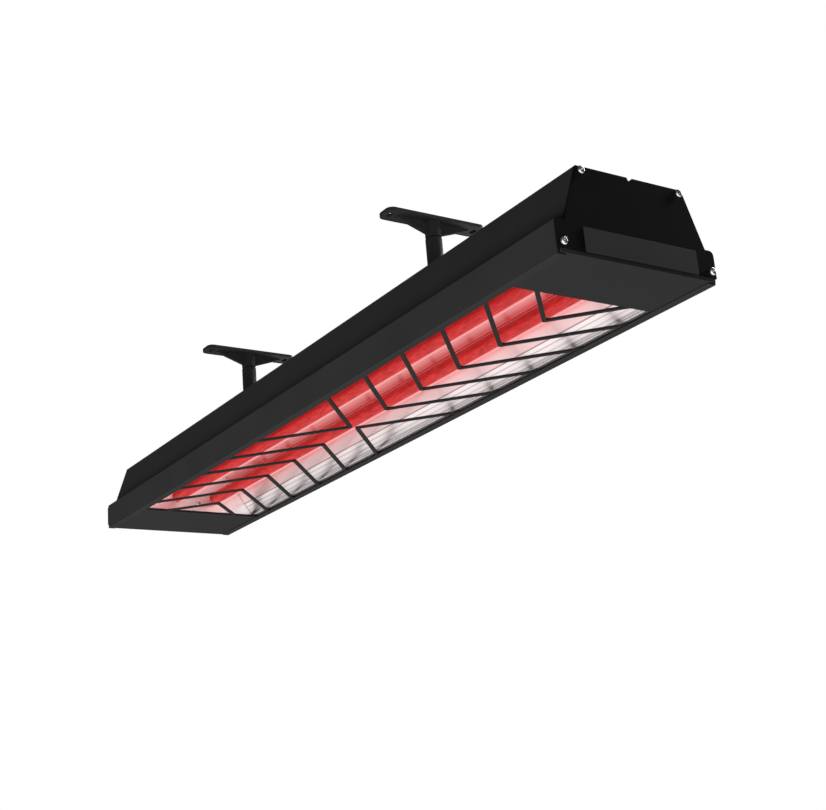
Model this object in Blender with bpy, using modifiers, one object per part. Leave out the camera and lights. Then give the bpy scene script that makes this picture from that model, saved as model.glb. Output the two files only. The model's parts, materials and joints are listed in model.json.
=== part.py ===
"""Ceiling-hung infrared strip heater with two quartz elements, built piece by piece.

World frame: the origin is on the ceiling plane above the middle of the housing, +X runs along
the housing towards the nameplate, -Y is the front and +Z is up. Pieces of the heater are drawn
in heater coordinates, whose z counts up from the underside of the housing's bottom lips.
"""
from math import cos, hypot, pi, sin, sqrt

import bmesh
import bpy
from mathutils import Matrix, Vector

MM = 0.001
GAP = 0.3 * MM

# Housing extrusion
LENGTH = 1060 * MM
WIDTH = 192 * MM
HEIGHT = 92 * MM
DROP = 188 * MM
WALL = 2.0 * MM
BAND_HEIGHT = 34 * MM
LEDGE = 10.3 * MM
SLOPE_RUN = 20.7 * MM
LIP_WIDTH = 9.6 * MM
LIP_THICK = 1.2 * MM
RIB_DEPTH = 3.5 * MM
RIB_THICK = 0.9 * MM
PORT_RADIUS = 2.3 * MM
PORT_WALL = 1.4 * MM
TOP_PORT_INSET = 5.2 * MM
TOP_PORT_DROP = 4.5 * MM
LOW_PORT_INSET = 6.0 * MM
LOW_PORT_HEIGHT = 11.8 * MM
SLOT_MOUTH = 6.6 * MM
SLOT_CHAMBER = 13.0 * MM
SLOT_LIP = 3.0 * MM
SLOT_DEPTH = 9.0 * MM
WEB_RUN = 10.5 * MM
WEB_DROP = 10 * MM
BOSS_CLEARANCE = 1.2 * MM

# Screws: shank radius of each size, and the heads of the small pan screws
M3_RADIUS = 1.5 * MM
M4_RADIUS = 2.0 * MM
M6_RADIUS = 3.0 * MM
M4_HEAD_RADIUS = 4.0 * MM
M4_HEAD_HEIGHT = 2.9 * MM
M6_HEAD_RADIUS = 5 * MM
M6_HEAD_HEIGHT = 6 * MM
M6_KEY = 5 * MM

# End caps and nameplate
CAP_THICK = 2.5 * MM
CAP_FOOT = 5.5 * MM
CAP_WING_RADIUS = 5.0 * MM
CAP_NOTCH_DEPTH = 3.2 * MM
NAMEPLATE_INSET = 27.3 * MM
NAMEPLATE_HEIGHT = 24.6 * MM
NAMEPLATE_THICK = 1.0 * MM
NAMEPLATE_OFFSET = 3.2 * MM
CAP_SCREW_LENGTH = 14 * MM

# Guard panel
PANEL_THICK = 2.4 * MM
PANEL_MARGIN = 3.4 * MM
PANEL_END_RIGHT = 84 * MM
PANEL_END_LEFT = 114 * MM
BAR_WIDTH = 4.6 * MM
BAR_PITCH = 74.6 * MM
BAR_RUN = 1.085
BAR_PAIRS = 5
BAR_CENTRE = 12 * MM
BAR_CROSS_GAP = 4.6 * MM
FLANGE_HEIGHT = 3.7 * MM
FLANGE_THICK = 1.5 * MM

# Reflector and lamps
SHEET = 0.8 * MM
GLOW_INSET_RIGHT = 75 * MM
GLOW_INSET_LEFT = 103.5 * MM
REFLECTOR_END_GAP = 0.7 * MM
SUPPORT_THICK = 1.5 * MM
TUBE_SPACING = 58 * MM
TUBE_HEIGHT = 28 * MM
TUBE_RADIUS = 9.5 * MM
TUBE_WALL = 1.3 * MM
COIL_RADIUS = 5.5 * MM
COIL_WALL = 1.2 * MM
LAMP_END_LENGTH = 22 * MM
LAMP_END_WALL = 1.5 * MM
LAMP_FLANGE = 2.5 * MM
LAMP_FLANGE_THICK = 4 * MM
LAMP_HOLE_CLEARANCE = 1.0 * MM
TUBE_SEAT = 16 * MM
REFLECTOR_SCREW_HEIGHT = 18.5 * MM
ROOF_DROP = 27 * MM
RIDGE_DROP = 37 * MM

# Wiring
LEAD_RADIUS = 1.6 * MM
LEAD_ROOF_GAP = 18 * MM
LEAD_SPREAD = 30 * MM
LEAD_WINDOW = (20 * MM, 9 * MM)
BLOCK_SIZE = (18 * MM, 44 * MM, 18 * MM)
BLOCK_HEIGHT = 58 * MM
BLOCK_SCREW_SPACING = 36 * MM
POLE_PITCH = 12 * MM
EARTH_HEIGHT = 40 * MM
GLAND_Y = 40 * MM
GLAND_Z = 58 * MM
GLAND_THREAD = 8.0 * MM
GLAND_BORE = 4.5 * MM
GLAND_HEX = 22 * MM
GLAND_COLLAR = 5 * MM
GLAND_NUT_THICK = 4 * MM
GLAND_REACH_IN = 9 * MM
GLAND_REACH_OUT = 13 * MM

# Ceiling brackets
BRACKET_X = {"left": -250 * MM, "right": 210 * MM}
PIVOT_RISE = 20 * MM
SADDLE_LENGTH = 48 * MM
SADDLE_WIDTH = 32 * MM
SADDLE_BASE = 4 * MM
EAR_THICK = 4 * MM
EAR_RADIUS = 9 * MM
TONGUE_THICK = 8 * MM
TONGUE_TOP = 18 * MM
CLAMP_SPACING = 30 * MM
CLAMP_NUT_WIDTH = 12.4 * MM
CLAMP_NUT_THICK = 5.0 * MM
PIVOT_NUT_WIDTH = 10 * MM
PIVOT_NUT_THICK = 5 * MM
PIVOT_SCREW_SPARE = 1.5 * MM
POST_RADIUS = 9.5 * MM
SPIGOT_RADIUS = 6.0 * MM
SPIGOT_LENGTH = 14.5 * MM
SOCKET_RADIUS = 9.3 * MM
SOCKET_LENGTH = 17.8 * MM
SOCKET_GROOVE = 1.1 * MM
FOOT_LENGTH = 130 * MM
FOOT_WIDTH = 27 * MM
FOOT_THICK = 4 * MM
FOOT_CORNER = 8 * MM
FOOT_SLOT_SPACING = 112 * MM
FOOT_SLOT_LENGTH = 11 * MM
FOOT_SLOT_RADIUS = 3.0 * MM
RIB_REACH = 48 * MM
RIB_WIDTH = 5 * MM
RIB_DROP = 14.5 * MM
GRUB_RADIUS = 2.5 * MM
GRUB_DROP = 14.4 * MM

# Derived places
BASE_Z = -DROP
HALF = WIDTH / 2
SHOULDER = HALF - LEDGE
TOP_HALF = SHOULDER - SLOPE_RUN
OPENING_HALF = HALF - LIP_WIDTH
BAND_INSIDE = HALF - WALL
SLOPE = SLOPE_RUN / (HEIGHT - BAND_HEIGHT)
BODY_END = LENGTH / 2 - CAP_THICK
PANEL_LOW = LIP_THICK + GAP
PANEL_TOP = PANEL_LOW + PANEL_THICK
PANEL_HALF = BAND_INSIDE - 0.4 * MM
RIB_LOW = PANEL_TOP + GAP
RIB_TOP = RIB_LOW + RIB_THICK
PORT_BOSS = PORT_RADIUS + PORT_WALL
TOP_PORT = (TOP_HALF - TOP_PORT_INSET, HEIGHT - TOP_PORT_DROP)
LOW_PORT = (HALF - LOW_PORT_INSET, LOW_PORT_HEIGHT)
GLOW_RIGHT = LENGTH / 2 - GLOW_INSET_RIGHT
GLOW_LEFT = -LENGTH / 2 + GLOW_INSET_LEFT
LEAD_Z = HEIGHT - LEAD_ROOF_GAP
PIVOT_Z = HEIGHT + PIVOT_RISE
SOCKET_LOW = DROP - FOOT_THICK - SOCKET_LENGTH
POST_TOP = SOCKET_LOW - SOCKET_GROOVE
SPIGOT_TOP = POST_TOP + SPIGOT_LENGTH

# Turns that lay a drawing's axes along the world's
SECTION = (pi / 2, 0, pi / 2)
AXIS_PLUS_X = (0, pi / 2, 0)
AXIS_MINUS_X = (0, -pi / 2, 0)
UPRIGHT = (0, 0, 0)

# Look of each finish: colour, metallic, roughness
LOOKS = {
    "black_extrusion": ((0.014, 0.014, 0.015), 0.0, 0.55),
    "black_powder": ((0.014, 0.014, 0.015), 0.0, 0.55),
    "black_satin": ((0.006, 0.006, 0.0065), 0.0, 0.45),
    "dark_plate": ((0.03, 0.03, 0.032), 0.3, 0.4),
    "polished_aluminium": ((0.86, 0.86, 0.87), 1.0, 0.12),
    "stainless": ((0.62, 0.61, 0.59), 1.0, 0.28),
    "zinc": ((0.5, 0.5, 0.49), 1.0, 0.4),
    "red_quartz": ((0.6, 0.03, 0.03), 0.0, 0.2),
    "glowing_coil": ((0.9, 0.2, 0.08), 0.0, 0.5),
    "steatite": ((0.75, 0.71, 0.62), 0.0, 0.6),
    "lead_sleeve": ((0.55, 0.53, 0.5), 0.0, 0.7),
    "earth_sleeve": ((0.25, 0.4, 0.08), 0.0, 0.6),
    "black_nylon": ((0.012, 0.012, 0.012), 0.0, 0.5),
}


def clear_scene():
    """Remove every object of the open file."""
    for obj in list(bpy.data.objects):
        bpy.data.objects.remove(obj, do_unlink=True)


def new_collection(name):
    collection = bpy.data.collections.new(name)
    bpy.context.scene.collection.children.link(collection)
    return collection


clear_scene()
PARTS = new_collection("strip_heater")
TOOLS = new_collection("strip_heater_cutters")


# ---------------------------------------------------------------- objects
def attach(obj, parent):
    """Parent an object to an empty and keep its location in world metres."""
    if parent is not None:
        obj.parent = parent
        obj.matrix_parent_inverse = Matrix.Translation(-Vector(parent.location))


def axis_empty(name, place, parent=None):
    """An empty on a joint's axis, which carries the pieces that move on that joint."""
    empty = bpy.data.objects.new(name, None)
    empty.empty_display_size = 20 * MM
    empty.location = place
    PARTS.objects.link(empty)
    attach(empty, parent)
    return empty


def finish(obj, look):
    """Give an object its own Principled material in one of the finishes."""
    colour, metallic, roughness = LOOKS[look]
    material = bpy.data.materials.new(obj.name + "_" + look)
    material.use_nodes = True
    shader = material.node_tree.nodes["Principled BSDF"]
    shader.inputs["Base Color"].default_value = (*colour, 1.0)
    shader.inputs["Metallic"].default_value = metallic
    shader.inputs["Roughness"].default_value = roughness
    obj.data.materials.append(material)


def piece(name, data, look, place, turn=UPRIGHT, parent=None):
    """A named sub-part from mesh or curve data."""
    obj = bpy.data.objects.new(name, data)
    obj.location = place
    obj.rotation_euler = turn
    PARTS.objects.link(obj)
    finish(obj, look)
    attach(obj, parent)
    return obj


def tool(name, data, place, turn=UPRIGHT):
    """A hidden body that a Boolean modifier reads."""
    obj = bpy.data.objects.new(name, data)
    obj.location = place
    obj.rotation_euler = turn
    obj.hide_render = True
    obj.display_type = "WIRE"
    TOOLS.objects.link(obj)
    return obj


def combine(obj, other, operation):
    """Add one Boolean modifier."""
    modifier = obj.modifiers.new(operation.lower(), "BOOLEAN")
    modifier.operation = operation
    modifier.solver = "EXACT"
    modifier.object = other


def evaluated_mesh(obj, name):
    """The object's mesh with its modifiers applied and its caps welded."""
    graph = bpy.context.evaluated_depsgraph_get()
    mesh = bpy.data.meshes.new_from_object(obj.evaluated_get(graph))
    mesh.name = name
    work = bmesh.new()
    work.from_mesh(mesh)
    bmesh.ops.remove_doubles(work, verts=work.verts, dist=0.001 * MM)
    work.to_mesh(mesh)
    work.free()
    return mesh


# ---------------------------------------------------------------- drawings
def arc(centre, radius, start, end, steps):
    """Points along a circular arc, angles in turns."""
    points = []
    for step in range(steps + 1):
        angle = 2 * pi * (start + (end - start) * step / steps)
        points.append((centre[0] + radius * cos(angle), centre[1] + radius * sin(angle)))
    return points


def circle(centre, radius, steps=16):
    return arc(centre, radius, 0, 1, steps)[:-1]


def rectangle(centre, width, height):
    x, y = centre
    w, h = width / 2, height / 2
    return [(x - w, y - h), (x + w, y - h), (x + w, y + h), (x - w, y + h)]


def hexagon(centre, across_flats):
    return circle(centre, across_flats / sqrt(3), 6)


def rounded_rectangle(width, height, radius, steps=4):
    x, y = width / 2 - radius, height / 2 - radius
    loop = arc((x, y), radius, 0, 0.25, steps)
    loop += arc((-x, y), radius, 0.25, 0.5, steps)
    loop += arc((-x, -y), radius, 0.5, 0.75, steps)
    return loop + arc((x, -y), radius, 0.75, 1, steps)


def slot_loop(centre, length, radius, steps=6):
    """A slotted hole whose long way runs along the drawing's first axis."""
    reach = length / 2 - radius
    loop = arc((centre[0] + reach, centre[1]), radius, -0.25, 0.25, steps)
    return loop + arc((centre[0] - reach, centre[1]), radius, 0.25, 0.75, steps)


def both_sides(half):
    """Close a half outline that starts and ends near the middle by its mirror image."""
    mirrored = [(-y, z) for y, z in reversed(half) if y > 1e-9]
    return half + mirrored


def wall_line(z, inset=0.0):
    """Half width of the sloped wall at height z, set in square to the wall."""
    return TOP_HALF + (HEIGHT - z) * SLOPE - inset * hypot(1, SLOPE)


def offset_line(points, distance):
    """Open polyline shifted to its left by a distance, with mitred corners."""
    normals = []
    for (y0, z0), (y1, z1) in zip(points, points[1:]):
        length = hypot(y1 - y0, z1 - z0)
        normals.append(((z0 - z1) / length, (y1 - y0) / length))
    shifted = []
    for index, (y, z) in enumerate(points):
        before = normals[max(index - 1, 0)]
        after = normals[min(index, len(normals) - 1)]
        scale = distance / (1 + before[0] * after[0] + before[1] * after[1])
        shifted.append((y + (before[0] + after[0]) * scale, z + (before[1] + after[1]) * scale))
    return shifted


def outline_curve(name, loops, thickness):
    """A filled flat outline; the first loop is the edge and the others are holes."""
    curve = bpy.data.curves.new(name, "CURVE")
    curve.dimensions = "2D"
    curve.fill_mode = "BOTH"
    curve.extrude = thickness / 2
    for loop in loops:
        spline = curve.splines.new("POLY")
        spline.points.add(len(loop) - 1)
        for point, (x, y) in zip(spline.points, loop):
            point.co = (x, y, 0, 1)
        spline.use_cyclic_u = True
    return curve


def outline_mesh(name, loops, thickness):
    """The same outline as a welded mesh, for Boolean work."""
    draft = tool(name + "_draft", outline_curve(name, loops, thickness), (0, 0, 0))
    mesh = evaluated_mesh(draft, name)
    bpy.data.objects.remove(draft, do_unlink=True)
    return mesh


def turned_data(name, profile, closed=False):
    """A profile of (radius, height) points, drawn down its outer side, for a Screw modifier."""
    work = bmesh.new()
    verts = [work.verts.new((radius, 0, height)) for radius, height in profile]
    for first, second in zip(verts, verts[1:]):
        work.edges.new((first, second))
    if closed:
        work.edges.new((verts[-1], verts[0]))
    mesh = bpy.data.meshes.new(name)
    work.to_mesh(mesh)
    work.free()
    return mesh


def add_screw(obj, steps):
    """Spin the profile once round the object's own Z axis."""
    modifier = obj.modifiers.new("spin", "SCREW")
    modifier.steps = steps
    modifier.render_steps = steps
    modifier.use_merge_vertices = True
    modifier.merge_threshold = 0.01 * MM
    modifier.use_smooth_shade = True


def turned(name, profile, look, place, turn, parent, steps=24, closed=False):
    """A turned sub-part."""
    obj = piece(name, turned_data(name, profile, closed), look, place, turn, parent)
    add_screw(obj, steps)
    return obj


def turned_mesh(name, profile, steps=24, closed=False, cutter=None):
    """A turned body as a finished mesh, cut once where a cutter is given."""
    draft = tool(name + "_draft", turned_data(name, profile, closed), (0, 0, 0))
    add_screw(draft, steps)
    if cutter is not None:
        combine(draft, cutter, "DIFFERENCE")
    mesh = evaluated_mesh(draft, name)
    bpy.data.objects.remove(draft, do_unlink=True)
    mesh.shade_smooth()
    mesh.set_sharp_from_angle(angle=pi / 6)
    return mesh


def cylinder_data(name, radius, length, segments=24):
    """A closed cylinder or prism round its own Z axis."""
    work = bmesh.new()
    bmesh.ops.create_cone(work, cap_ends=True, segments=segments, radius1=radius,
                          radius2=radius, depth=length)
    mesh = bpy.data.meshes.new(name)
    work.to_mesh(mesh)
    work.free()
    return mesh


def box_data(name, size):
    """A closed box round its own middle."""
    work = bmesh.new()
    bmesh.ops.create_cube(work, size=1)
    bmesh.ops.scale(work, vec=size, verts=work.verts)
    mesh = bpy.data.meshes.new(name)
    work.to_mesh(mesh)
    work.free()
    return mesh


# ---------------------------------------------------------------- fasteners
def cross_cutter(length, width, depth, top):
    """Two crossed bars that sink a screwdriver recess into a head."""
    bar = tool("recess_bar", box_data("recess_bar", (length, width, depth)), (0, 0, top))
    other = tool("recess_cross", box_data("recess_cross", (width, length, depth)), (0, 0, top))
    combine(bar, other, "UNION")
    return bar


def pan_screw_mesh(name, head_radius, head_height, shank_radius, length):
    """Pan-head screw with a cross recess; z = 0 is under the head."""
    profile = [(0, head_height), (head_radius * 0.6, head_height * 0.95)]
    profile += [(head_radius * 0.9, head_height * 0.7), (head_radius, head_height * 0.35)]
    profile += [(head_radius, 0), (shank_radius, 0), (shank_radius, -length), (0, -length)]
    cutter = cross_cutter(head_radius * 1.1, head_radius * 0.24, head_height, head_height * 1.05)
    return turned_mesh(name, profile, steps=12, cutter=cutter)


def socket_screw_mesh(name, head_radius, head_height, shank_radius, length, key):
    """Cap screw with a hexagon socket; z = 0 is under the head."""
    chamfer = 0.5 * MM
    profile = [(0, head_height), (head_radius - chamfer, head_height)]
    profile += [(head_radius, head_height - chamfer), (head_radius, 0), (shank_radius, 0)]
    profile += [(shank_radius, -length), (0, -length)]
    socket = cylinder_data(name + "_key", key / sqrt(3), head_height, 6)
    cutter = tool(name + "_key", socket, (0, 0, head_height))
    return turned_mesh(name, profile, steps=16, cutter=cutter)


# ---------------------------------------------------------------- housing
def low_boss():
    """Outline of the screw boss on the band's inner face, from its lower root to its upper."""
    y, z = LOW_PORT
    reach = PORT_BOSS + 0.8 * MM
    cut = reach * 0.45
    return [(BAND_INSIDE, z - reach), (y - reach + cut, z - reach), (y - reach, z - reach + cut),
            (y - reach, z + reach - cut), (y - reach + cut, z + reach), (BAND_INSIDE, z + reach)]


def housing_profile():
    """Half of the extrusion's cross-section, from the slot's floor round to its underside."""
    mouth = SLOT_MOUTH / 2
    chamber = SLOT_CHAMBER / 2
    roof = HEIGHT - WALL
    web_low = TOP_PORT[1] - WEB_DROP
    half = [(chamber, HEIGHT - SLOT_DEPTH), (chamber, HEIGHT - SLOT_LIP)]
    half += [(mouth, HEIGHT - SLOT_LIP), (mouth, HEIGHT), (TOP_HALF, HEIGHT)]
    half += [(SHOULDER, BAND_HEIGHT), (HALF, BAND_HEIGHT), (HALF, 0), (OPENING_HALF, 0)]
    half += [(OPENING_HALF, LIP_THICK), (BAND_INSIDE, LIP_THICK), (BAND_INSIDE, RIB_LOW)]
    half += [(BAND_INSIDE - RIB_DEPTH, RIB_LOW), (BAND_INSIDE - RIB_DEPTH, RIB_TOP)]
    half += [(BAND_INSIDE, RIB_TOP)] + low_boss() + [(BAND_INSIDE, BAND_HEIGHT - WALL)]
    half += [(wall_line(BAND_HEIGHT - WALL, WALL), BAND_HEIGHT - WALL)]
    half += [(wall_line(web_low, WALL), web_low), (TOP_PORT[0] - WEB_RUN, roof)]
    half += [(chamber + WALL, roof), (chamber + WALL, HEIGHT - SLOT_DEPTH - WALL)]
    return half


def port_holes(radius):
    """The four holes for an end cap's screws."""
    holes = []
    for side in (-1, 1):
        for y, z in (TOP_PORT, LOW_PORT):
            holes.append(circle((side * y, z), radius, 12))
    return holes


def build_housing(parent):
    loops = [both_sides(housing_profile())] + port_holes(PORT_RADIUS)
    curve = outline_curve("housing", loops, 2 * BODY_END)
    piece("housing", curve, "black_extrusion", (0, 0, BASE_Z), SECTION, parent)


def cap_outline():
    """Half of an end cap, from the notch over the slot round to the foot."""
    notch = SLOT_MOUTH / 2
    wing = (HALF - CAP_WING_RADIUS, BAND_HEIGHT - CAP_WING_RADIUS)
    half = [(notch / 2, HEIGHT - CAP_NOTCH_DEPTH), (notch, HEIGHT), (TOP_HALF, HEIGHT)]
    half += [(SHOULDER, BAND_HEIGHT)] + arc(wing, CAP_WING_RADIUS, 0.25, 0, 6)
    return half + [(HALF, CAP_FOOT)]


def build_end_caps(parent):
    middle = LENGTH / 2 - CAP_THICK / 2 + GAP / 2
    for side, sign in (("right", 1), ("left", -1)):
        loops = [both_sides(cap_outline())] + port_holes(PORT_RADIUS)
        if side == "left":
            loops.append(circle((GLAND_Y, GLAND_Z), GLAND_THREAD + GAP))
        name = "end_cap_" + side
        curve = outline_curve(name, loops, CAP_THICK - GAP)
        piece(name, curve, "black_satin", (sign * middle, 0, BASE_Z), SECTION, parent)


def build_cap_screws(parent):
    mesh = pan_screw_mesh("cap_screw", M4_HEAD_RADIUS, M4_HEAD_HEIGHT, M4_RADIUS, CAP_SCREW_LENGTH)
    for side, sign, turn in (("right", 1, AXIS_PLUS_X), ("left", -1, AXIS_MINUS_X)):
        for row, port in (("top", TOP_PORT), ("low", LOW_PORT)):
            for edge, way in (("front", -1), ("back", 1)):
                name = "_".join(("cap_screw", side, row, edge))
                place = (sign * (LENGTH / 2 + GAP), way * port[0], BASE_Z + port[1])
                piece(name, mesh.copy(), "stainless", place, turn, parent)


def build_nameplate(parent):
    centre = (NAMEPLATE_OFFSET, CAP_FOOT + NAMEPLATE_HEIGHT / 2)
    loop = rectangle(centre, WIDTH - 2 * NAMEPLATE_INSET, NAMEPLATE_HEIGHT)
    curve = outline_curve("nameplate", [loop], NAMEPLATE_THICK)
    place = (LENGTH / 2 + GAP + NAMEPLATE_THICK / 2, 0, BASE_Z)
    piece("nameplate", curve, "dark_plate", place, SECTION, parent)


# ---------------------------------------------------------------- guard panel
def guard_windows():
    """Openings of the guard: chevrons that point to the middle, and two crossing corners."""
    reach = PANEL_HALF - PANEL_MARGIN
    face = BAR_WIDTH / 2 * hypot(1, BAR_RUN)
    windows = []

    def leg_end(start, sign, edge):
        """Where a bar face that starts on the centre line meets the side margin or the end."""
        y = min(reach, sign * (edge - start) / BAR_RUN)
        return (start + sign * BAR_RUN * y, y)

    for sign, edge in ((1, LENGTH / 2 - PANEL_END_RIGHT), (-1, PANEL_END_LEFT - LENGTH / 2)):
        vertices = [BAR_CENTRE + sign * BAR_PITCH * number for number in range(1, BAR_PAIRS + 1)]
        for number, vertex in enumerate(vertices):
            near = vertex + sign * face
            start = leg_end(near, sign, edge)
            upper = [start]
            last = number + 1 == BAR_PAIRS
            far = edge if last else vertices[number + 1] - sign * face
            end = leg_end(far, sign, edge)
            if not last:
                if end[1] < reach:
                    upper.append((edge, reach))
                upper += [end, (far, 0)]
            lower = [(x, -y) for x, y in reversed(upper) if y > 0]
            windows.append(upper + lower + [(near, 0)])

    slant = BAR_RUN * (reach - BAR_CROSS_GAP)
    tip = face / BAR_RUN
    inner = [BAR_CENTRE + sign * (BAR_PITCH - face) for sign in (1, -1)]
    right = [(BAR_CENTRE + slant + face, reach), (inner[0] + BAR_RUN * reach, reach), (inner[0], 0)]
    right += [(x, -y) for x, y in reversed(right) if y > 0]
    left = [(2 * BAR_CENTRE - x, y) for x, y in reversed(right)]
    low_tip = (BAR_CENTRE, tip - BAR_CROSS_GAP)
    windows.append(right + [low_tip] + left + [(BAR_CENTRE, BAR_CROSS_GAP - tip)])
    for way in (-1, 1):
        corner = (BAR_CENTRE, way * (BAR_CROSS_GAP + tip))
        ends = [(BAR_CENTRE + sign * (slant - face), way * reach) for sign in (1, -1)]
        windows.append([corner] + ends)
    return windows


def build_guard(parent):
    """Laser-cut panel: end plates, bars and side margins in one sheet, its ends turned up."""
    loops = [rectangle((0, 0), LENGTH, 2 * PANEL_HALF)] + guard_windows()
    mesh = outline_mesh("guard_panel", loops, PANEL_THICK)
    place = (0, 0, BASE_Z + PANEL_LOW + PANEL_THICK / 2)
    panel = piece("guard_panel", mesh, "black_powder", place, UPRIGHT, parent)
    sunk = PANEL_THICK / 2
    height = FLANGE_HEIGHT - sunk
    size = (FLANGE_THICK, 2 * PANEL_HALF - 0.2 * MM, height)
    for side, sign in (("right", 1), ("left", -1)):
        name = "panel_flange_" + side
        x = sign * (LENGTH / 2 - FLANGE_THICK / 2 - 0.02 * MM)
        flange = tool(name, box_data(name, size), (x, 0, BASE_Z + PANEL_LOW + sunk + height / 2))
        combine(panel, flange, "UNION")


# ---------------------------------------------------------------- reflector and lamps
def reflector_section():
    """Half of the trough's centre line, from its edge in the housing's groove to the ridge."""
    low = RIB_TOP + GAP + SHEET / 2
    section = [(BAND_INSIDE - 2 * MM, low), (HALF - 6 * MM, low), (HALF - 11 * MM, low + 0.9 * MM)]
    section += [(HALF - 15 * MM, 14.2 * MM), (HALF - 18.4 * MM, 18.8 * MM)]
    section += [(HALF - 22 * MM, 23.2 * MM), (HALF - 32 * MM, 39.4 * MM)]
    section += [(HALF - 42 * MM, HEIGHT - 36.4 * MM), (HALF - 56 * MM, HEIGHT - ROOF_DROP)]
    return section + [(HALF - 78 * MM, HEIGHT - ROOF_DROP), (0, HEIGHT - RIDGE_DROP)]


def build_reflector(parent):
    """Faceted trough of polished sheet, open below."""
    half = reflector_section()
    section = half + [(-y, z) for y, z in reversed(half[:-1])]
    start = GLOW_LEFT + REFLECTOR_END_GAP
    length = GLOW_RIGHT - REFLECTOR_END_GAP - start
    work = bmesh.new()
    verts = [work.verts.new((start, y, z)) for y, z in section]
    edges = [work.edges.new(pair) for pair in zip(verts, verts[1:])]
    drawn = bmesh.ops.extrude_edge_only(work, edges=edges)
    moved = [item for item in drawn["geom"] if isinstance(item, bmesh.types.BMVert)]
    bmesh.ops.translate(work, vec=(length, 0, 0), verts=moved)
    mesh = bpy.data.meshes.new("reflector")
    work.to_mesh(mesh)
    work.free()
    trough = piece("reflector", mesh, "polished_aluminium", (0, 0, BASE_Z), UPRIGHT, parent)
    solidify = trough.modifiers.new("sheet", "SOLIDIFY")
    solidify.thickness = SHEET
    solidify.offset = 0
    solidify.use_even_offset = True


def lamp_places():
    return (("front", -TUBE_SPACING / 2), ("back", TUBE_SPACING / 2))


def glow_ends():
    """Each end of the glowing length: name, x of the reflector's face and the way outwards."""
    return (("left", GLOW_LEFT, -1), ("right", GLOW_RIGHT, 1))


def build_end_reflectors(parent):
    """Polished plates that close the trough's ends, with the screw that holds each."""
    edge = offset_line(reflector_section()[2:-1], -1.2 * MM)
    edge = [(min(y, LOW_PORT[0] - PORT_BOSS - BOSS_CLEARANCE), z) for y, z in edge]
    outline = both_sides(edge)
    screw = pan_screw_mesh("reflector_screw", 3.6 * MM, 2.4 * MM, M4_RADIUS, 7 * MM)
    for side, face, sign in glow_ends():
        holes = [circle((y, TUBE_HEIGHT), TUBE_RADIUS + LAMP_HOLE_CLEARANCE, 24) for _, y in lamp_places()]
        holes.append(circle((0, REFLECTOR_SCREW_HEIGHT), M4_RADIUS + GAP, 12))
        name = "end_reflector_" + side
        curve = outline_curve(name, [outline] + holes, SHEET)
        place = (face + sign * SHEET / 2, 0, BASE_Z)
        piece(name, curve, "polished_aluminium", place, SECTION, parent)
        turn = AXIS_MINUS_X if sign > 0 else AXIS_PLUS_X
        place = (face - sign * GAP, 0, BASE_Z + REFLECTOR_SCREW_HEIGHT)
        piece("reflector_screw_" + side, screw.copy(), "stainless", place, turn, parent)


def support_outline():
    """Half of a lamp support: a bulkhead that fills the extrusion behind an end reflector."""
    side = wall_line(BAND_HEIGHT - WALL, WALL) - GAP
    side = min(side, LOW_PORT[0] - PORT_BOSS - BOSS_CLEARANCE)
    web_low = TOP_PORT[1] - WEB_DROP
    chamber = SLOT_CHAMBER / 2 + WALL
    roof = HEIGHT - WALL - GAP
    half = [(chamber + GAP, HEIGHT - SLOT_DEPTH - WALL - GAP), (chamber + GAP, roof)]
    half += [(TOP_PORT[0] - WEB_RUN - GAP, roof)]
    half += [(wall_line(web_low, WALL + GAP) - 0.3 * MM, web_low - 0.3 * MM)]
    return half + [(side, BAND_HEIGHT - WALL), (side, RIB_LOW + 0.3 * MM)]


def build_lamp_supports(parent):
    for side, face, sign in glow_ends():
        holes = []
        for _, y in lamp_places():
            holes.append(circle((y, TUBE_HEIGHT), lamp_end_radius() + 2 * GAP, 20))
            window = (LEAD_SPREAD if y > 0 else -LEAD_SPREAD, LEAD_Z)
            holes.append(rectangle(window, *LEAD_WINDOW))
        holes.append(circle((0, REFLECTOR_SCREW_HEIGHT), M4_RADIUS + GAP, 12))
        if side == "left":
            holes.append(circle((0, EARTH_HEIGHT), M4_RADIUS + GAP, 12))
            for way in (-1, 1):
                centre = (way * BLOCK_SCREW_SPACING / 2, BLOCK_HEIGHT)
                holes.append(circle(centre, M3_RADIUS + GAP, 12))
        name = "lamp_support_" + side
        curve = outline_curve(name, [both_sides(support_outline())] + holes, SUPPORT_THICK)
        x = face + sign * (SHEET + GAP + SUPPORT_THICK / 2)
        piece(name, curve, "zinc", (x, 0, BASE_Z), SECTION, parent)


def lamp_end_radius():
    """Outer radius of the ceramic's front spigot."""
    return TUBE_RADIUS + LAMP_END_WALL


def support_back(face, sign):
    """X of the support's face that looks away from the glow."""
    return face + sign * (SHEET + GAP + SUPPORT_THICK)


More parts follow.
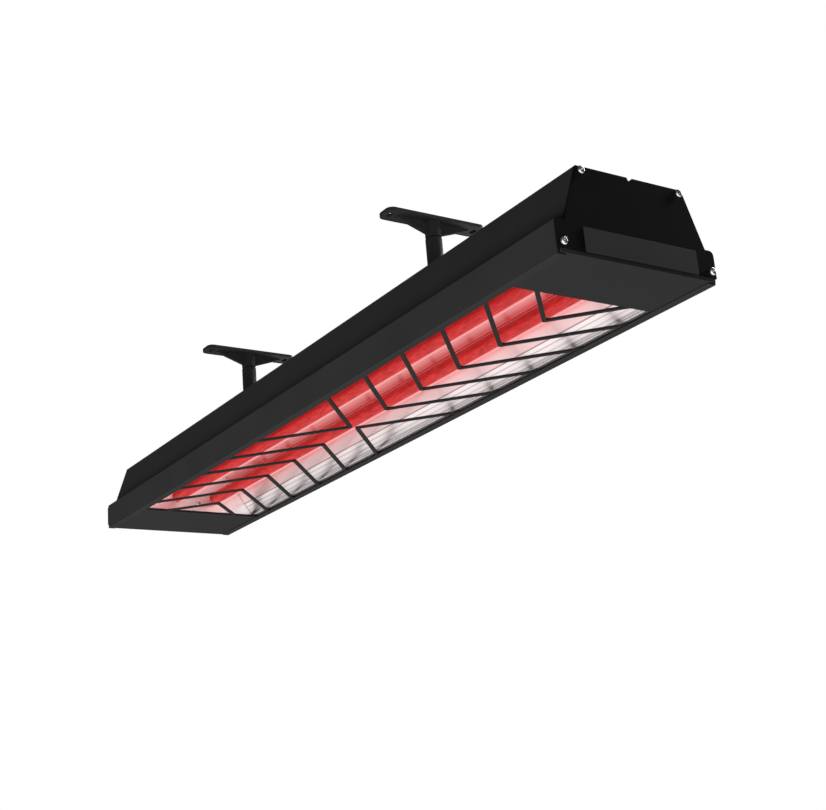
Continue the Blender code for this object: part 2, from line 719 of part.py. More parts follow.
def build_lamps(parent):
    """Quartz tubes, the coils in them and the ceramic ends that hold both."""
    spigot = lamp_end_radius()
    flange = spigot + LAMP_FLANGE
    bore = TUBE_RADIUS + GAP
    front = SUPPORT_THICK
    back = -LAMP_END_LENGTH
    lead = LEAD_RADIUS + GAP
    ceramic = [(bore, front), (spigot, front), (spigot, -GAP), (flange, -GAP), (flange, -LAMP_FLANGE_THICK)]
    ceramic += [(spigot + 0.5 * MM, -LAMP_FLANGE_THICK), (spigot + 0.5 * MM, back), (lead, back)]
    ceramic += [(lead, -TUBE_SEAT), (bore, -TUBE_SEAT)]
    left = support_back(GLOW_LEFT, -1) - TUBE_SEAT + GAP
    right = support_back(GLOW_RIGHT, 1) + TUBE_SEAT - GAP
    middle = (left + right) / 2
    half = (right - left) / 2
    tube = [(TUBE_RADIUS, half), (TUBE_RADIUS, -half)]
    tube += [(TUBE_RADIUS - TUBE_WALL, -half), (TUBE_RADIUS - TUBE_WALL, half)]
    coil = [(COIL_RADIUS, half), (COIL_RADIUS, -half)]
    coil += [(COIL_RADIUS - COIL_WALL, -half), (COIL_RADIUS - COIL_WALL, half)]
    for row, y in lamp_places():
        place = (middle, y, BASE_Z + TUBE_HEIGHT)
        turned("quartz_tube_" + row, tube, "red_quartz", place, AXIS_PLUS_X, parent, 32, True)
        turned("heating_coil_" + row, coil, "glowing_coil", place, AXIS_PLUS_X, parent, 20, True)
        for side, face, sign in glow_ends():
            turn = AXIS_PLUS_X if sign < 0 else AXIS_MINUS_X
            place = (support_back(face, sign), y, BASE_Z + TUBE_HEIGHT)
            name = "_".join(("lamp_end", row, side))
            turned(name, ceramic, "steatite", place, turn, parent, 16, True)


# ---------------------------------------------------------------- wiring
def rounded_route(corners, radius, steps=4):
    """Points along a route whose corners are rounded off."""
    points = [Vector(corners[0])]
    for before, corner, after in zip(corners, corners[1:], corners[2:]):
        here = Vector(corner)
        back = Vector(before) - here
        ahead = Vector(after) - here
        reach = min(radius, back.length * 0.45, ahead.length * 0.45)
        start = here + back.normalized() * reach
        end = here + ahead.normalized() * reach
        for step in range(steps + 1):
            t = step / steps
            points.append(start * (1 - t) ** 2 + here * 2 * t * (1 - t) + end * t ** 2)
    points.append(Vector(corners[-1]))
    return points


def lead_wire(name, corners, look, parent):
    """An insulated lead along a route given in heater coordinates."""
    curve = bpy.data.curves.new(name, "CURVE")
    curve.dimensions = "3D"
    curve.bevel_depth = LEAD_RADIUS
    curve.bevel_resolution = 2
    curve.use_fill_caps = True
    points = rounded_route(corners, 7 * MM)
    spline = curve.splines.new("POLY")
    spline.points.add(len(points) - 1)
    for point, place in zip(spline.points, points):
        point.co = (*place, 1)
    piece(name, curve, look, (0, 0, BASE_Z), UPRIGHT, parent)


def build_wiring(parent):
    """Terminal block on the left support, and the leads that join it to the lamps and earth."""
    left = support_back(GLOW_LEFT, -1)
    right = support_back(GLOW_RIGHT, 1)
    block_x = left - GAP - BLOCK_SIZE[0] / 2
    top = BLOCK_HEIGHT + BLOCK_SIZE[2] / 2 + GAP
    under = BLOCK_HEIGHT - BLOCK_SIZE[2] / 2 - GAP
    loops = [rectangle((0, BLOCK_HEIGHT), BLOCK_SIZE[1], BLOCK_SIZE[2])]
    screw = pan_screw_mesh("block_screw", 2.8 * MM, 2.0 * MM, M3_RADIUS, BLOCK_SIZE[0] + 1 * MM)
    for edge, way in (("front", -1), ("back", 1)):
        y = way * BLOCK_SCREW_SPACING / 2
        loops.append(circle((y, BLOCK_HEIGHT), M3_RADIUS + GAP, 12))
        place = (block_x - BLOCK_SIZE[0] / 2 - GAP, y, BASE_Z + BLOCK_HEIGHT)
        piece("block_screw_" + edge, screw.copy(), "stainless", place, AXIS_MINUS_X, parent)
    curve = outline_curve("terminal_block", loops, BLOCK_SIZE[0])
    piece("terminal_block", curve, "steatite", (block_x, 0, BASE_Z), SECTION, parent)

    inside = LAMP_END_LENGTH - 3 * MM
    turn_back = right + LAMP_END_LENGTH + 18 * MM
    for row, y in lamp_places():
        way = 1 if y > 0 else -1
        window = way * LEAD_SPREAD
        pole = way * POLE_PITCH
        corners = [(right + inside, y, TUBE_HEIGHT), (turn_back, y, TUBE_HEIGHT)]
        corners += [(turn_back, window, LEAD_Z), (right, window, LEAD_Z), (block_x, window, LEAD_Z)]
        corners += [(block_x, pole, LEAD_Z), (block_x, pole, top)]
        lead_wire("lead_right_" + row, corners, "lead_sleeve", parent)
        corners = [(left - inside, y, TUBE_HEIGHT), (left - LAMP_END_LENGTH - 10 * MM, y, TUBE_HEIGHT)]
        corners += [(left - LAMP_END_LENGTH - 10 * MM, pole, EARTH_HEIGHT)]
        corners += [(block_x, pole, EARTH_HEIGHT), (block_x, pole, under)]
        lead_wire("lead_left_" + row, corners, "lead_sleeve", parent)

    stud = pan_screw_mesh("earth_screw", M4_HEAD_RADIUS, M4_HEAD_HEIGHT, M4_RADIUS, 1.6 * MM)
    place = (left - GAP, 0, BASE_Z + EARTH_HEIGHT)
    piece("earth_screw", stud, "stainless", place, AXIS_MINUS_X, parent)
    corners = [(block_x, 0, under), (block_x, 0, EARTH_HEIGHT)]
    corners.append((left - 2 * GAP - M4_HEAD_HEIGHT, 0, EARTH_HEIGHT))
    lead_wire("earth_lead", corners, "earth_sleeve", parent)


def build_gland(parent):
    """Cable gland through the left end cap: body, lock nut inside and dome nut outside."""
    outer = -LENGTH / 2
    place = (outer, GLAND_Y, BASE_Z + GLAND_Z)
    neck = GLAND_THREAD - 0.8 * MM
    shoulder = GLAND_THREAD + 1 * MM
    body = [(GLAND_BORE, GLAND_REACH_OUT), (neck, GLAND_REACH_OUT), (neck, GLAND_COLLAR)]
    body += [(shoulder, GLAND_COLLAR), (shoulder, GAP), (GLAND_THREAD, GAP)]
    body += [(GLAND_THREAD, -GLAND_REACH_IN), (GLAND_BORE, -GLAND_REACH_IN)]
    mesh = turned_mesh("gland_body", body, closed=True)
    gland = piece("gland_body", mesh, "black_nylon", place, AXIS_MINUS_X, parent)
    ring = [hexagon((0, 0), GLAND_HEX), circle((0, 0), GLAND_THREAD - 1.5 * MM)]
    collar = tool("gland_hex", outline_mesh("gland_hex", ring, GLAND_COLLAR),
                  (outer - GAP - GLAND_COLLAR / 2, GLAND_Y, BASE_Z + GLAND_Z), AXIS_MINUS_X)
    combine(gland, collar, "UNION")

    shell = neck + GAP
    dome = [(shell, 5.8 * MM), (shell, 13.5 * MM), (GLAND_BORE + 0.3 * MM, 16.5 * MM)]
    dome += [(GLAND_BORE + 0.3 * MM, 21 * MM), (7.2 * MM, 20.5 * MM), (9.4 * MM, 17.5 * MM)]
    dome += [(10.2 * MM, 14 * MM), (10.2 * MM, 5.8 * MM)]
    dome = dome[3:] + dome[:3]
    turned("gland_dome_nut", dome, "black_nylon", place, AXIS_MINUS_X, parent, 24, True)

    ring = [hexagon((GLAND_Y, GLAND_Z), GLAND_HEX), circle((GLAND_Y, GLAND_Z), GLAND_THREAD + GAP)]
    curve = outline_curve("gland_lock_nut", ring, GLAND_NUT_THICK)
    x = -BODY_END + GAP + GLAND_NUT_THICK / 2
    piece("gland_lock_nut", curve, "black_nylon", (x, 0, BASE_Z), SECTION, parent)


# ---------------------------------------------------------------- ceiling brackets
def build_saddle(side, x, parent):
    """Base plate clamped over the slot, with two ears round the post's tongue."""
    seat = HEIGHT + GAP
    holes = [circle((way * CLAMP_SPACING / 2, 0), M6_RADIUS + GAP) for way in (-1, 1)]
    base = [rounded_rectangle(SADDLE_LENGTH, SADDLE_WIDTH, 3 * MM)] + holes
    name = "saddle_" + side
    mesh = outline_mesh(name, base, SADDLE_BASE)
    place = (x, 0, BASE_Z + seat + SADDLE_BASE / 2)
    saddle = piece(name, mesh, "black_powder", place, UPRIGHT, parent)
    ear = arc((0, PIVOT_Z), EAR_RADIUS, 0, 0.5, 10)
    ear += [(-EAR_RADIUS - 1 * MM, seat + 1 * MM), (EAR_RADIUS + 1 * MM, seat + 1 * MM)]
    hole = circle((0, PIVOT_Z), M6_RADIUS + GAP)
    for way in (-1, 1):
        ear_name = name + ("_ear_left" if way < 0 else "_ear_right")
        middle = x + way * (TONGUE_THICK / 2 + GAP + EAR_THICK / 2)
        body = tool(ear_name, outline_mesh(ear_name, [ear, hole], EAR_THICK),
                    (middle, 0, BASE_Z), SECTION)
        combine(saddle, body, "UNION")


def build_clamp(side, x, parent):
    """Slot nut and the two screws that clamp the saddle to the housing."""
    holes = [circle((way * CLAMP_SPACING / 2, 0), M6_RADIUS + GAP) for way in (-1, 1)]
    bar = [rectangle((0, 0), SADDLE_LENGTH - 4 * MM, CLAMP_NUT_WIDTH)] + holes
    name = "slot_nut_" + side
    z = HEIGHT - SLOT_LIP - GAP - CLAMP_NUT_THICK / 2
    curve = outline_curve(name, bar, CLAMP_NUT_THICK)
    piece(name, curve, "zinc", (x, 0, BASE_Z + z), UPRIGHT, parent)
    seat = HEIGHT + GAP + SADDLE_BASE + GAP
    length = seat - (HEIGHT - SLOT_DEPTH + 1 * MM)
    screw = socket_screw_mesh("clamp_screw", M6_HEAD_RADIUS, M6_HEAD_HEIGHT, M6_RADIUS, length, M6_KEY)
    for edge, way in (("outer", -1), ("inner", 1)):
        offset = way * CLAMP_SPACING / 2
        name = "_".join(("clamp_screw", side, edge))
        piece(name, screw.copy(), "zinc", (x + offset, 0, BASE_Z + seat), UPRIGHT, parent)


def build_pivot(side, x, parent):
    """Pivot screw through the ears and the tongue, and its nut."""
    face = TONGUE_THICK / 2 + GAP + EAR_THICK + GAP
    length = 2 * face + PIVOT_NUT_THICK + PIVOT_SCREW_SPARE
    screw = socket_screw_mesh("pivot_screw", M6_HEAD_RADIUS, M6_HEAD_HEIGHT, M6_RADIUS, length, M6_KEY)
    place = (x + face, 0, BASE_Z + PIVOT_Z)
    piece("pivot_screw_" + side, screw, "zinc", place, AXIS_PLUS_X, parent)
    ring = [hexagon((0, PIVOT_Z), PIVOT_NUT_WIDTH), circle((0, PIVOT_Z), M6_RADIUS + GAP)]
    curve = outline_curve("pivot_nut_" + side, ring, PIVOT_NUT_THICK)
    place = (x - face - PIVOT_NUT_THICK / 2, 0, BASE_Z)
    piece("pivot_nut_" + side, curve, "zinc", place, SECTION, parent)


def build_post(side, x, parent):
    """Round post with a spigot for the foot above and a flat tongue for the saddle below."""
    name = "post_" + side
    grub = grub_height()
    neck = SPIGOT_RADIUS - 1 * MM
    waist = GRUB_RADIUS + 2 * GAP
    low = PIVOT_Z + TONGUE_TOP
    chamfer = 0.8 * MM
    profile = [(0, SPIGOT_TOP), (SPIGOT_RADIUS - chamfer, SPIGOT_TOP)]
    profile += [(SPIGOT_RADIUS, SPIGOT_TOP - chamfer), (SPIGOT_RADIUS, grub + waist)]
    profile += [(neck, grub + waist), (neck, grub - waist), (SPIGOT_RADIUS, grub - waist)]
    profile += [(SPIGOT_RADIUS, POST_TOP), (POST_RADIUS - chamfer, POST_TOP)]
    profile += [(POST_RADIUS, POST_TOP - chamfer), (POST_RADIUS, low + chamfer)]
    profile += [(POST_RADIUS - chamfer, low), (0, low)]
    mesh = turned_mesh(name, profile, steps=24)
    post = piece(name, mesh, "black_powder", (x, 0, BASE_Z), UPRIGHT, parent)
    edge = arc((0, PIVOT_Z), EAR_RADIUS, 0.5, 1, 10) + [(EAR_RADIUS, low + 2 * MM)]
    edge.append((-EAR_RADIUS, low + 2 * MM))
    hole = circle((0, PIVOT_Z), M6_RADIUS + GAP)
    tongue = tool(name + "_tongue", outline_mesh(name + "_tongue", [edge, hole], TONGUE_THICK),
                  (x, 0, BASE_Z), SECTION)
    combine(post, tongue, "UNION")


def grub_height():
    """Height of the grub screw's axis in the foot's socket."""
    return DROP - GRUB_DROP


def build_foot(side, x, parent):
    """Cast T-shaped foot: slotted plate, socket and a tapering rib to each side."""
    name = "foot_" + side
    slots = []
    for way in (-1, 1):
        slots.append(slot_loop((0, way * FOOT_SLOT_SPACING / 2), FOOT_SLOT_LENGTH, FOOT_SLOT_RADIUS))
    plate = [rounded_rectangle(FOOT_WIDTH, FOOT_LENGTH, FOOT_CORNER)] + slots
    mesh = outline_mesh(name, plate, FOOT_THICK)
    top = BASE_Z + DROP
    foot = piece(name, mesh, "black_powder", (x, 0, top - FOOT_THICK / 2), UPRIGHT, parent)
    inside = DROP - FOOT_THICK / 2
    chamfer = 0.6 * MM
    socket = [(0, inside), (SOCKET_RADIUS, inside), (SOCKET_RADIUS, SOCKET_LOW + chamfer)]
    socket += [(SOCKET_RADIUS - chamfer, SOCKET_LOW), (0, SOCKET_LOW)]
    body = tool(name + "_socket", turned_mesh(name + "_socket", socket, steps=24), (x, 0, BASE_Z))
    combine(foot, body, "UNION")
    low = DROP - FOOT_THICK - RIB_DROP
    rib = [(-RIB_REACH, DROP - FOOT_THICK - 0.8 * MM), (-RIB_REACH, inside), (RIB_REACH, inside)]
    rib += [(RIB_REACH, DROP - FOOT_THICK - 0.8 * MM), (SOCKET_RADIUS - 1 * MM, low)]
    rib.append((1 * MM - SOCKET_RADIUS, low))
    web = tool(name + "_rib", outline_mesh(name + "_rib", [rib], RIB_WIDTH), (x, 0, BASE_Z), SECTION)
    combine(foot, web, "UNION")
    depth = SPIGOT_TOP + GAP - SOCKET_LOW
    bore = cylinder_data(name + "_bore", SPIGOT_RADIUS + GAP, depth + 1 * MM, 24)
    centre = BASE_Z + SOCKET_LOW + (depth - 1 * MM) / 2
    combine(foot, tool(name + "_bore", bore, (x, 0, centre)), "DIFFERENCE")
    hole = cylinder_data(name + "_grub_hole", GRUB_RADIUS + GAP, SOCKET_RADIUS, 16)
    place = (x - SOCKET_RADIUS, 0, BASE_Z + grub_height())
    combine(foot, tool(name + "_grub_hole", hole, place, AXIS_PLUS_X), "DIFFERENCE")

    tip = SPIGOT_RADIUS - 0.6 * MM
    length = SOCKET_RADIUS - tip
    profile = [(0, length), (GRUB_RADIUS, length), (GRUB_RADIUS, 0.6 * MM)]
    profile += [(GRUB_RADIUS - 0.6 * MM, 0), (0, 0)]
    key = tool("grub_key_" + side, cylinder_data("grub_key", 1.4 * MM, 3 * MM, 6), (0, 0, length))
    grub = turned_mesh("grub_screw", profile, steps=16, cutter=key)
    place = (x - tip, 0, BASE_Z + grub_height())
    piece("grub_screw_" + side, grub, "zinc", place, AXIS_MINUS_X, parent)


def build_assembly():
    """The chain from the left foot, down to the heater and up again to the right foot."""
    left, right = BRACKET_X["left"], BRACKET_X["right"]
    swivel_z = BASE_Z + SOCKET_LOW
    tilt_z = BASE_Z + PIVOT_Z
    slot_z = BASE_Z + HEIGHT
    foot_left = axis_empty("foot_left_axis", (left, 0, 0))
    post_left = axis_empty("swivel_left_axis", (left, 0, swivel_z), foot_left)
    saddle_left = axis_empty("tilt_left_axis", (left, 0, tilt_z), post_left)
    heater = axis_empty("slide_left_axis", (left, 0, slot_z), saddle_left)
    saddle_right = axis_empty("slide_right_axis", (right, 0, slot_z), heater)
    post_right = axis_empty("tilt_right_axis", (right, 0, tilt_z), saddle_right)
    foot_right = axis_empty("swivel_right_axis", (right, 0, swivel_z), post_right)

    build_housing(heater)
    build_end_caps(heater)
    build_cap_screws(heater)
    build_nameplate(heater)
    build_guard(heater)
    build_reflector(heater)
    build_end_reflectors(heater)
    build_lamp_supports(heater)
    build_lamps(heater)
    build_wiring(heater)
    build_gland(heater)
    brackets = (("left", left, foot_left, post_left, saddle_left),
                ("right", right, foot_right, post_right, saddle_right))
    for side, x, foot, post, saddle in brackets:
        build_foot(side, x, foot)
        build_post(side, x, post)
        build_saddle(side, x, saddle)
        build_clamp(side, x, saddle)
        build_pivot(side, x, saddle)


build_assembly()
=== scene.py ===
# %% [markdown]
# # A ceiling-hung infrared strip heater
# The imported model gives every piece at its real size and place, as plain solids with sharp
# edges. This lesson turns them into finished surfaces: rounded metal edges, powder coat,
# polished sheet, glowing quartz and turned screws. The first cell loads the model and keeps
# its box, because no finish may change the object's size.

# %% Load the model
import json
from math import cos, pi, radians, sin

import bpy
from mathutils import Matrix, Vector


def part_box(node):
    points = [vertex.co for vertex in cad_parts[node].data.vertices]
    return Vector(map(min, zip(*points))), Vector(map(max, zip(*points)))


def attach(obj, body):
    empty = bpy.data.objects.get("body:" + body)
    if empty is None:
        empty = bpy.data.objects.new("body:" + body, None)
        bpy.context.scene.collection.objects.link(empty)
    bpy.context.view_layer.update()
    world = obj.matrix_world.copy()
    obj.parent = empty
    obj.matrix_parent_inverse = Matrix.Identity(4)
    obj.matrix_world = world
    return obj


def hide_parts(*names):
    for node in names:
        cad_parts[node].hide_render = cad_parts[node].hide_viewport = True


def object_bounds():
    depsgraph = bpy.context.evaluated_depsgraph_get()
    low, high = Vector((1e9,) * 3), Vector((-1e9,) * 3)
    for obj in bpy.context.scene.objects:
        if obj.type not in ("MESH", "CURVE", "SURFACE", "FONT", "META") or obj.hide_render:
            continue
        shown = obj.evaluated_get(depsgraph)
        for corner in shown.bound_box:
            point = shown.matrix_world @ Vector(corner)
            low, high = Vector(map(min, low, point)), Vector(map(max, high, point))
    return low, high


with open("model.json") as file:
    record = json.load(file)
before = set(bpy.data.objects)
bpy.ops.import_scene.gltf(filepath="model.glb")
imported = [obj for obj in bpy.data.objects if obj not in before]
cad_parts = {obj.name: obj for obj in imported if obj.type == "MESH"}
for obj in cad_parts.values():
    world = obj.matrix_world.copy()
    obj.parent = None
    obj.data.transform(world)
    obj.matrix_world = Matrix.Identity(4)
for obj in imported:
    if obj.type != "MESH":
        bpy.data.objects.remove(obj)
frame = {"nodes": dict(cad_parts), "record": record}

MM = 0.001
cad_low, cad_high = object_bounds()
nodes = frame["nodes"]
print("nodes", len(nodes), "box", [round(v, 4) for v in cad_high - cad_low])

# %% [markdown]
# ## Camera
# The heater hangs overhead, so it is seen from below and from its front right corner. A camera
# can be aimed with a Track To constraint, but that leaves no say in how it is tipped. Here its
# place and three turns are numbers that a person could measure: where it stands, its compass
# angle, how far it looks up and how far it is tipped to one side.

# %% Camera
EYE = Vector((1.42281, -0.87067, -0.69032))
AZIMUTH = radians(55.799)
ELEVATION = radians(-17.642)
TIP = radians(-4.722)
LENS = 63.11
SENSOR = 36


def look_matrix(azimuth, elevation, tip):
    """Turn of a camera that looks back along a compass angle and a height angle."""
    away = Vector((sin(azimuth) * cos(elevation), -cos(azimuth) * cos(elevation), sin(elevation)))
    right = (-away).cross(Vector((0, 0, 1))).normalized()
    up = right.cross(-away)
    level = cos(tip) * right + sin(tip) * up
    upright = cos(tip) * up - sin(tip) * right
    return Matrix((level, upright, away)).transposed().to_4x4()


camera_data = bpy.data.cameras.new("camera")
camera_data.lens = LENS
camera_data.sensor_width = SENSOR
camera = bpy.data.objects.new("camera", camera_data)
camera.matrix_world = Matrix.Translation(EYE) @ look_matrix(AZIMUTH, ELEVATION, TIP)
bpy.context.scene.collection.objects.link(camera)
bpy.context.scene.camera = camera
print("camera at", tuple(round(v, 3) for v in EYE))

# %% [markdown]
# ## Room
# The heater hangs in an empty pale room, so that nothing draws the eye away from it. A room
# with real walls would do, but its bounced light is hard to steer. A world shader with two
# strengths is simpler: the camera sees plain white, and the pieces get only a dim even sky.
# The floor is a plain pale plane, a room's height below the ceiling.

# %% World and floor
FLOOR_DEPTH = 2.5
FLOOR_SIDE = 14.0
SKY_WHITE = 1.0
SKY_LIGHT = 0.08

world = bpy.data.worlds.new("studio")
world.use_nodes = True
bpy.context.scene.world = world
tree = world.node_tree
tree.nodes.clear()
seen = tree.nodes.new("ShaderNodeBackground")
seen.inputs["Strength"].default_value = SKY_WHITE
lit = tree.nodes.new("ShaderNodeBackground")
lit.inputs["Strength"].default_value = SKY_LIGHT
for shade in (seen, lit):
    shade.inputs["Color"].default_value = (1, 1, 1, 1)
ray = tree.nodes.new("ShaderNodeLightPath")
either = tree.nodes.new("ShaderNodeMixShader")
out = tree.nodes.new("ShaderNodeOutputWorld")
tree.links.new(ray.outputs["Is Camera Ray"], either.inputs["Fac"])
tree.links.new(lit.outputs[0], either.inputs[1])
tree.links.new(seen.outputs[0], either.inputs[2])
tree.links.new(either.outputs[0], out.inputs["Surface"])
bpy.context.scene.view_settings.view_transform = "Standard"

bpy.ops.mesh.primitive_plane_add(size=FLOOR_SIDE, location=(0, 0, -FLOOR_DEPTH))
floor = bpy.context.object
floor.name = "floor"
print("floor", FLOOR_DEPTH, "m below the ceiling")

# %% [markdown]
# ## Soft panels
# Black paint and bright metal are hard to light together. Paint needs a strong lamp, and a
# mirror shows that lamp as a white patch. One set of lamps for both would leave the paint
# without shape or burn the mirror out. So every lamp is a square area light, and light linking
# lets some of them reach one group only: the paint, the bright metal, the brackets or the floor.

# %% Hang the panels
WIDE = 12.0
# Each row: name, place, point it faces, side, radiance, and the only group it lights.
PANELS = (
    ("back", (0, 3.0, 2.0), (0, 0, -0.14), 2.5, 8.0, None),
    ("floor", (0, 0, -0.4), (0, 0, -FLOOR_DEPTH), WIDE, 0.4, "floor"),
    ("front", (-0.4, -2.0, -2.2), (0, 0, -0.15), 2.0, 17.0, "paint"),
    ("side", (2.6, -0.3, -0.6), (0.5, 0, -0.14), 2.0, 2.0, None),
    ("mirror", (0, 0, -1.6), (0, 0, 0), WIDE, 0.75, "bright metal"),
    ("brackets", (0, 0, -1.6), (0, 0, 0), WIDE, 1.15, "brackets"),
)
lit_group = {}


def soft_panel(name, place, target, side, radiance, only):
    """A square area light that faces a point and hides from the camera."""
    light = bpy.data.lights.new("panel_" + name, "AREA")
    light.shape = "SQUARE"
    light.size = side
    light.energy = radiance * pi * side * side
    panel = bpy.data.objects.new("panel_" + name, light)
    panel.location = place
    panel.rotation_euler = (Vector(target) - Vector(place)).to_track_quat("-Z", "Y").to_euler()
    panel.visible_camera = False
    bpy.context.scene.collection.objects.link(panel)
    if only:
        lit_group[only] = bpy.data.collections.new("lit_by_panel_" + name)
        panel.light_linking.receiver_collection = lit_group[only]


for row in PANELS:
    soft_panel(*row)
lit_group["floor"].objects.link(floor)
print("panels", [row[0] for row in PANELS])

# %% [markdown]
# ## Glow of the tubes on the reflector
# The tubes turn the sheet beside them pink. Their own surface could light it, but would need so
# much strength that it looked white itself. So a long red strip light lies beside each tube,
# faces the trough's side and shines only on the bright metal.

# %% Strip lights beside the tubes
GLOW_RADIANCE = 0.4
GLOW_RED = (1.0, 0.045, 0.045)
GLOW_RISE = 20
GLOW_GAP = 1 * MM


def tube_glow(row, way):
    """A strip light beside one tube, turned outwards and a little up."""
    low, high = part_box("quartz_tube_" + row)
    middle = (low + high) / 2
    radius = (high.z - low.z) / 2
    light = bpy.data.lights.new("glow_" + row, "AREA")
    light.shape = "RECTANGLE"
    light.size = high.x - low.x
    light.size_y = 2 * radius
    light.color = GLOW_RED
    light.energy = GLOW_RADIANCE * pi * light.size * light.size_y
    strip = bpy.data.objects.new("glow_" + row, light)
    strip.location = (middle.x, middle.y + way * (radius + GLOW_GAP), middle.z)
    strip.rotation_euler = (way * radians(90 + GLOW_RISE), 0, 0)
    strip.visible_camera = False
    strip.light_linking.receiver_collection = lit_group["bright metal"]
    bpy.context.scene.collection.objects.link(strip)


tube_glow("front", -1)
tube_glow("back", 1)
print("glow strips", GLOW_RADIANCE)

# %% [markdown]
# ## Shared effects
# Several finishes are uneven in the same ways, so each kind of unevenness is a node group that
# a finish places with its own scale. Picture textures would need every piece unwrapped. Noise
# on object coordinates has no seams and the same grain on a screw and on a metre of housing.
# These helpers make a group, do arithmetic on sockets and place a noise.

# %% Node helpers
def new_group(name, inputs, outputs):
    """A shader node group with named float inputs, float outputs and its two end nodes."""
    group = bpy.data.node_groups.new(name, "ShaderNodeTree")
    for label, value in inputs:
        socket = group.interface.new_socket(label, in_out="INPUT", socket_type="NodeSocketFloat")
        socket.default_value = value
    for label in outputs:
        group.interface.new_socket(label, in_out="OUTPUT", socket_type="NodeSocketFloat")
    start = group.nodes.new("NodeGroupInput")
    end = group.nodes.new("NodeGroupOutput")
    return group, start, end


def feed(tree, socket, value):
    """Link a socket to an input, or set the input to a plain value."""
    if isinstance(value, bpy.types.NodeSocket):
        tree.links.new(value, socket)
    else:
        socket.default_value = value


def arithmetic(tree, operation, *values):
    """A Math node whose inputs are sockets or plain numbers; gives its output socket."""
    node = tree.nodes.new("ShaderNodeMath")
    node.operation = operation
    for socket, value in zip(node.inputs, values):
        feed(tree, socket, value)
    return node.outputs[0]


def object_place(tree):
    """The place on the piece, in metres, as a vector socket."""
    return tree.nodes.new("ShaderNodeTexCoord").outputs["Object"]


def noise(tree, vector, scale, detail=3.0, roughness=0.5):
    """A Noise texture; gives its value socket."""
    node = tree.nodes.new("ShaderNodeTexNoise")
    node.inputs["Detail"].default_value = detail
    node.inputs["Roughness"].default_value = roughness
    feed(tree, node.inputs["Scale"], scale)
    tree.links.new(vector, node.inputs["Vector"])
    return node.outputs["Fac"]


# %% [markdown]
# ### Grain and drawn streaks
# Powder coat has a fine orange-peel and ceramic has pores: both are a fine noise for the height
# and a broad one for the tone. Rolled, turned or brushed metal has long thin marks instead. The
# same noise makes those when its space is stretched, fine across and coarse along X.

# %% Grain and streak groups
def build_grain():
    """Fine bumps for the height, and broad soft patches for tone and gloss."""
    group, start, end = new_group("coat_grain", (("Scale", 2600.0), ("Patch Scale", 14.0)),
                                  ("Height", "Patch"))
    place = object_place(group)
    fine = noise(group, place, start.outputs["Scale"], 2.0)
    broad = noise(group, place, start.outputs["Patch Scale"], 5.0, 0.6)
    group.links.new(fine, end.inputs["Height"])
    group.links.new(broad, end.inputs["Patch"])
    return group


SMUDGE_SCALE = 26.0


def build_streak():
    """Long thin marks that run along X, as from rolling or drawing, and soft smudges."""
    group, start, end = new_group("drawn_streak", (("Across", 900.0), ("Along", 6.0)),
                                  ("Height", "Patch"))
    place = object_place(group)
    size = group.nodes.new("ShaderNodeCombineXYZ")
    group.links.new(start.outputs["Along"], size.inputs[0])
    group.links.new(start.outputs["Across"], size.inputs[1])
    group.links.new(start.outputs["Across"], size.inputs[2])
    stretch = group.nodes.new("ShaderNodeVectorMath")
    stretch.operation = "MULTIPLY"
    group.links.new(place, stretch.inputs[0])
    group.links.new(size.outputs[0], stretch.inputs[1])
    lines = noise(group, stretch.outputs[0], 1.0, 4.0, 0.65)
    smudge = noise(group, place, SMUDGE_SCALE, 4.0, 0.6)
    group.links.new(lines, end.inputs["Height"])
    group.links.new(smudge, end.inputs["Patch"])
    return group


GRAIN = build_grain()
STREAK = build_streak()
print("groups", GRAIN.name, STREAK.name)

# %% [markdown]
# ## Finishes
# Every finish starts from one Principled shader. Plain numbers go straight on its sockets, and
# only what changes over the surface is linked: colour, roughness, glow and bump. One material
# could be drawn by hand for each finish, but a dozen of them would soon differ by accident.
# Small helpers keep them alike.

# %% Finish helpers
NOISE_LOW = 0.3
NOISE_HIGH = 0.7


def new_finish(name, metallic, specular, coat=0.0, coat_roughness=0.1, ior=1.5):
    """A material with a Principled shader; gives the material, its tree and the shader."""
    material = bpy.data.materials.new(name)
    material.use_nodes = True
    shader = material.node_tree.nodes["Principled BSDF"]
    shader.inputs["Metallic"].default_value = metallic
    shader.inputs["Specular IOR Level"].default_value = specular
    shader.inputs["Coat Weight"].default_value = coat
    shader.inputs["Coat Roughness"].default_value = coat_roughness
    shader.inputs["IOR"].default_value = ior
    return material, material.node_tree, shader


def place_group(tree, group, **values):
    """A copy of a shared effect in a material."""
    node = tree.nodes.new("ShaderNodeGroup")
    node.node_tree = group
    for label, value in values.items():
        node.inputs[label].default_value = value
    return node


def fade(tree, value, start, end, low=0.0, high=1.0):
    """A value that runs from low at start to high at end, and stays level outside them."""
    node = tree.nodes.new("ShaderNodeMapRange")
    limits = {"From Min": start, "From Max": end, "To Min": low, "To Max": high}
    for label, number in limits.items():
        node.inputs[label].default_value = number
    tree.links.new(value, node.inputs["Value"])
    return node.outputs["Result"]


def between(tree, factor, low, high):
    """A value that runs from low to high over the usual range of a noise."""
    return fade(tree, factor, NOISE_LOW, NOISE_HIGH, low, high)


def colour_steps(tree, factor, steps):
    """A colour that passes through several steps of the factor."""
    ramp = tree.nodes.new("ShaderNodeValToRGB")
    parts = ramp.color_ramp.elements
    while len(parts) < len(steps):
        parts.new(0.5)
    for part, (position, colour) in zip(parts, steps):
        part.position = position
        part.color = (*colour, 1)
    tree.links.new(factor, ramp.inputs["Fac"])
    return ramp.outputs["Color"]


def blend_colours(tree, factor, first, second):
    """A colour that runs from first to second over the usual range of a noise."""
    return colour_steps(tree, factor, ((NOISE_LOW, first), (NOISE_HIGH, second)))


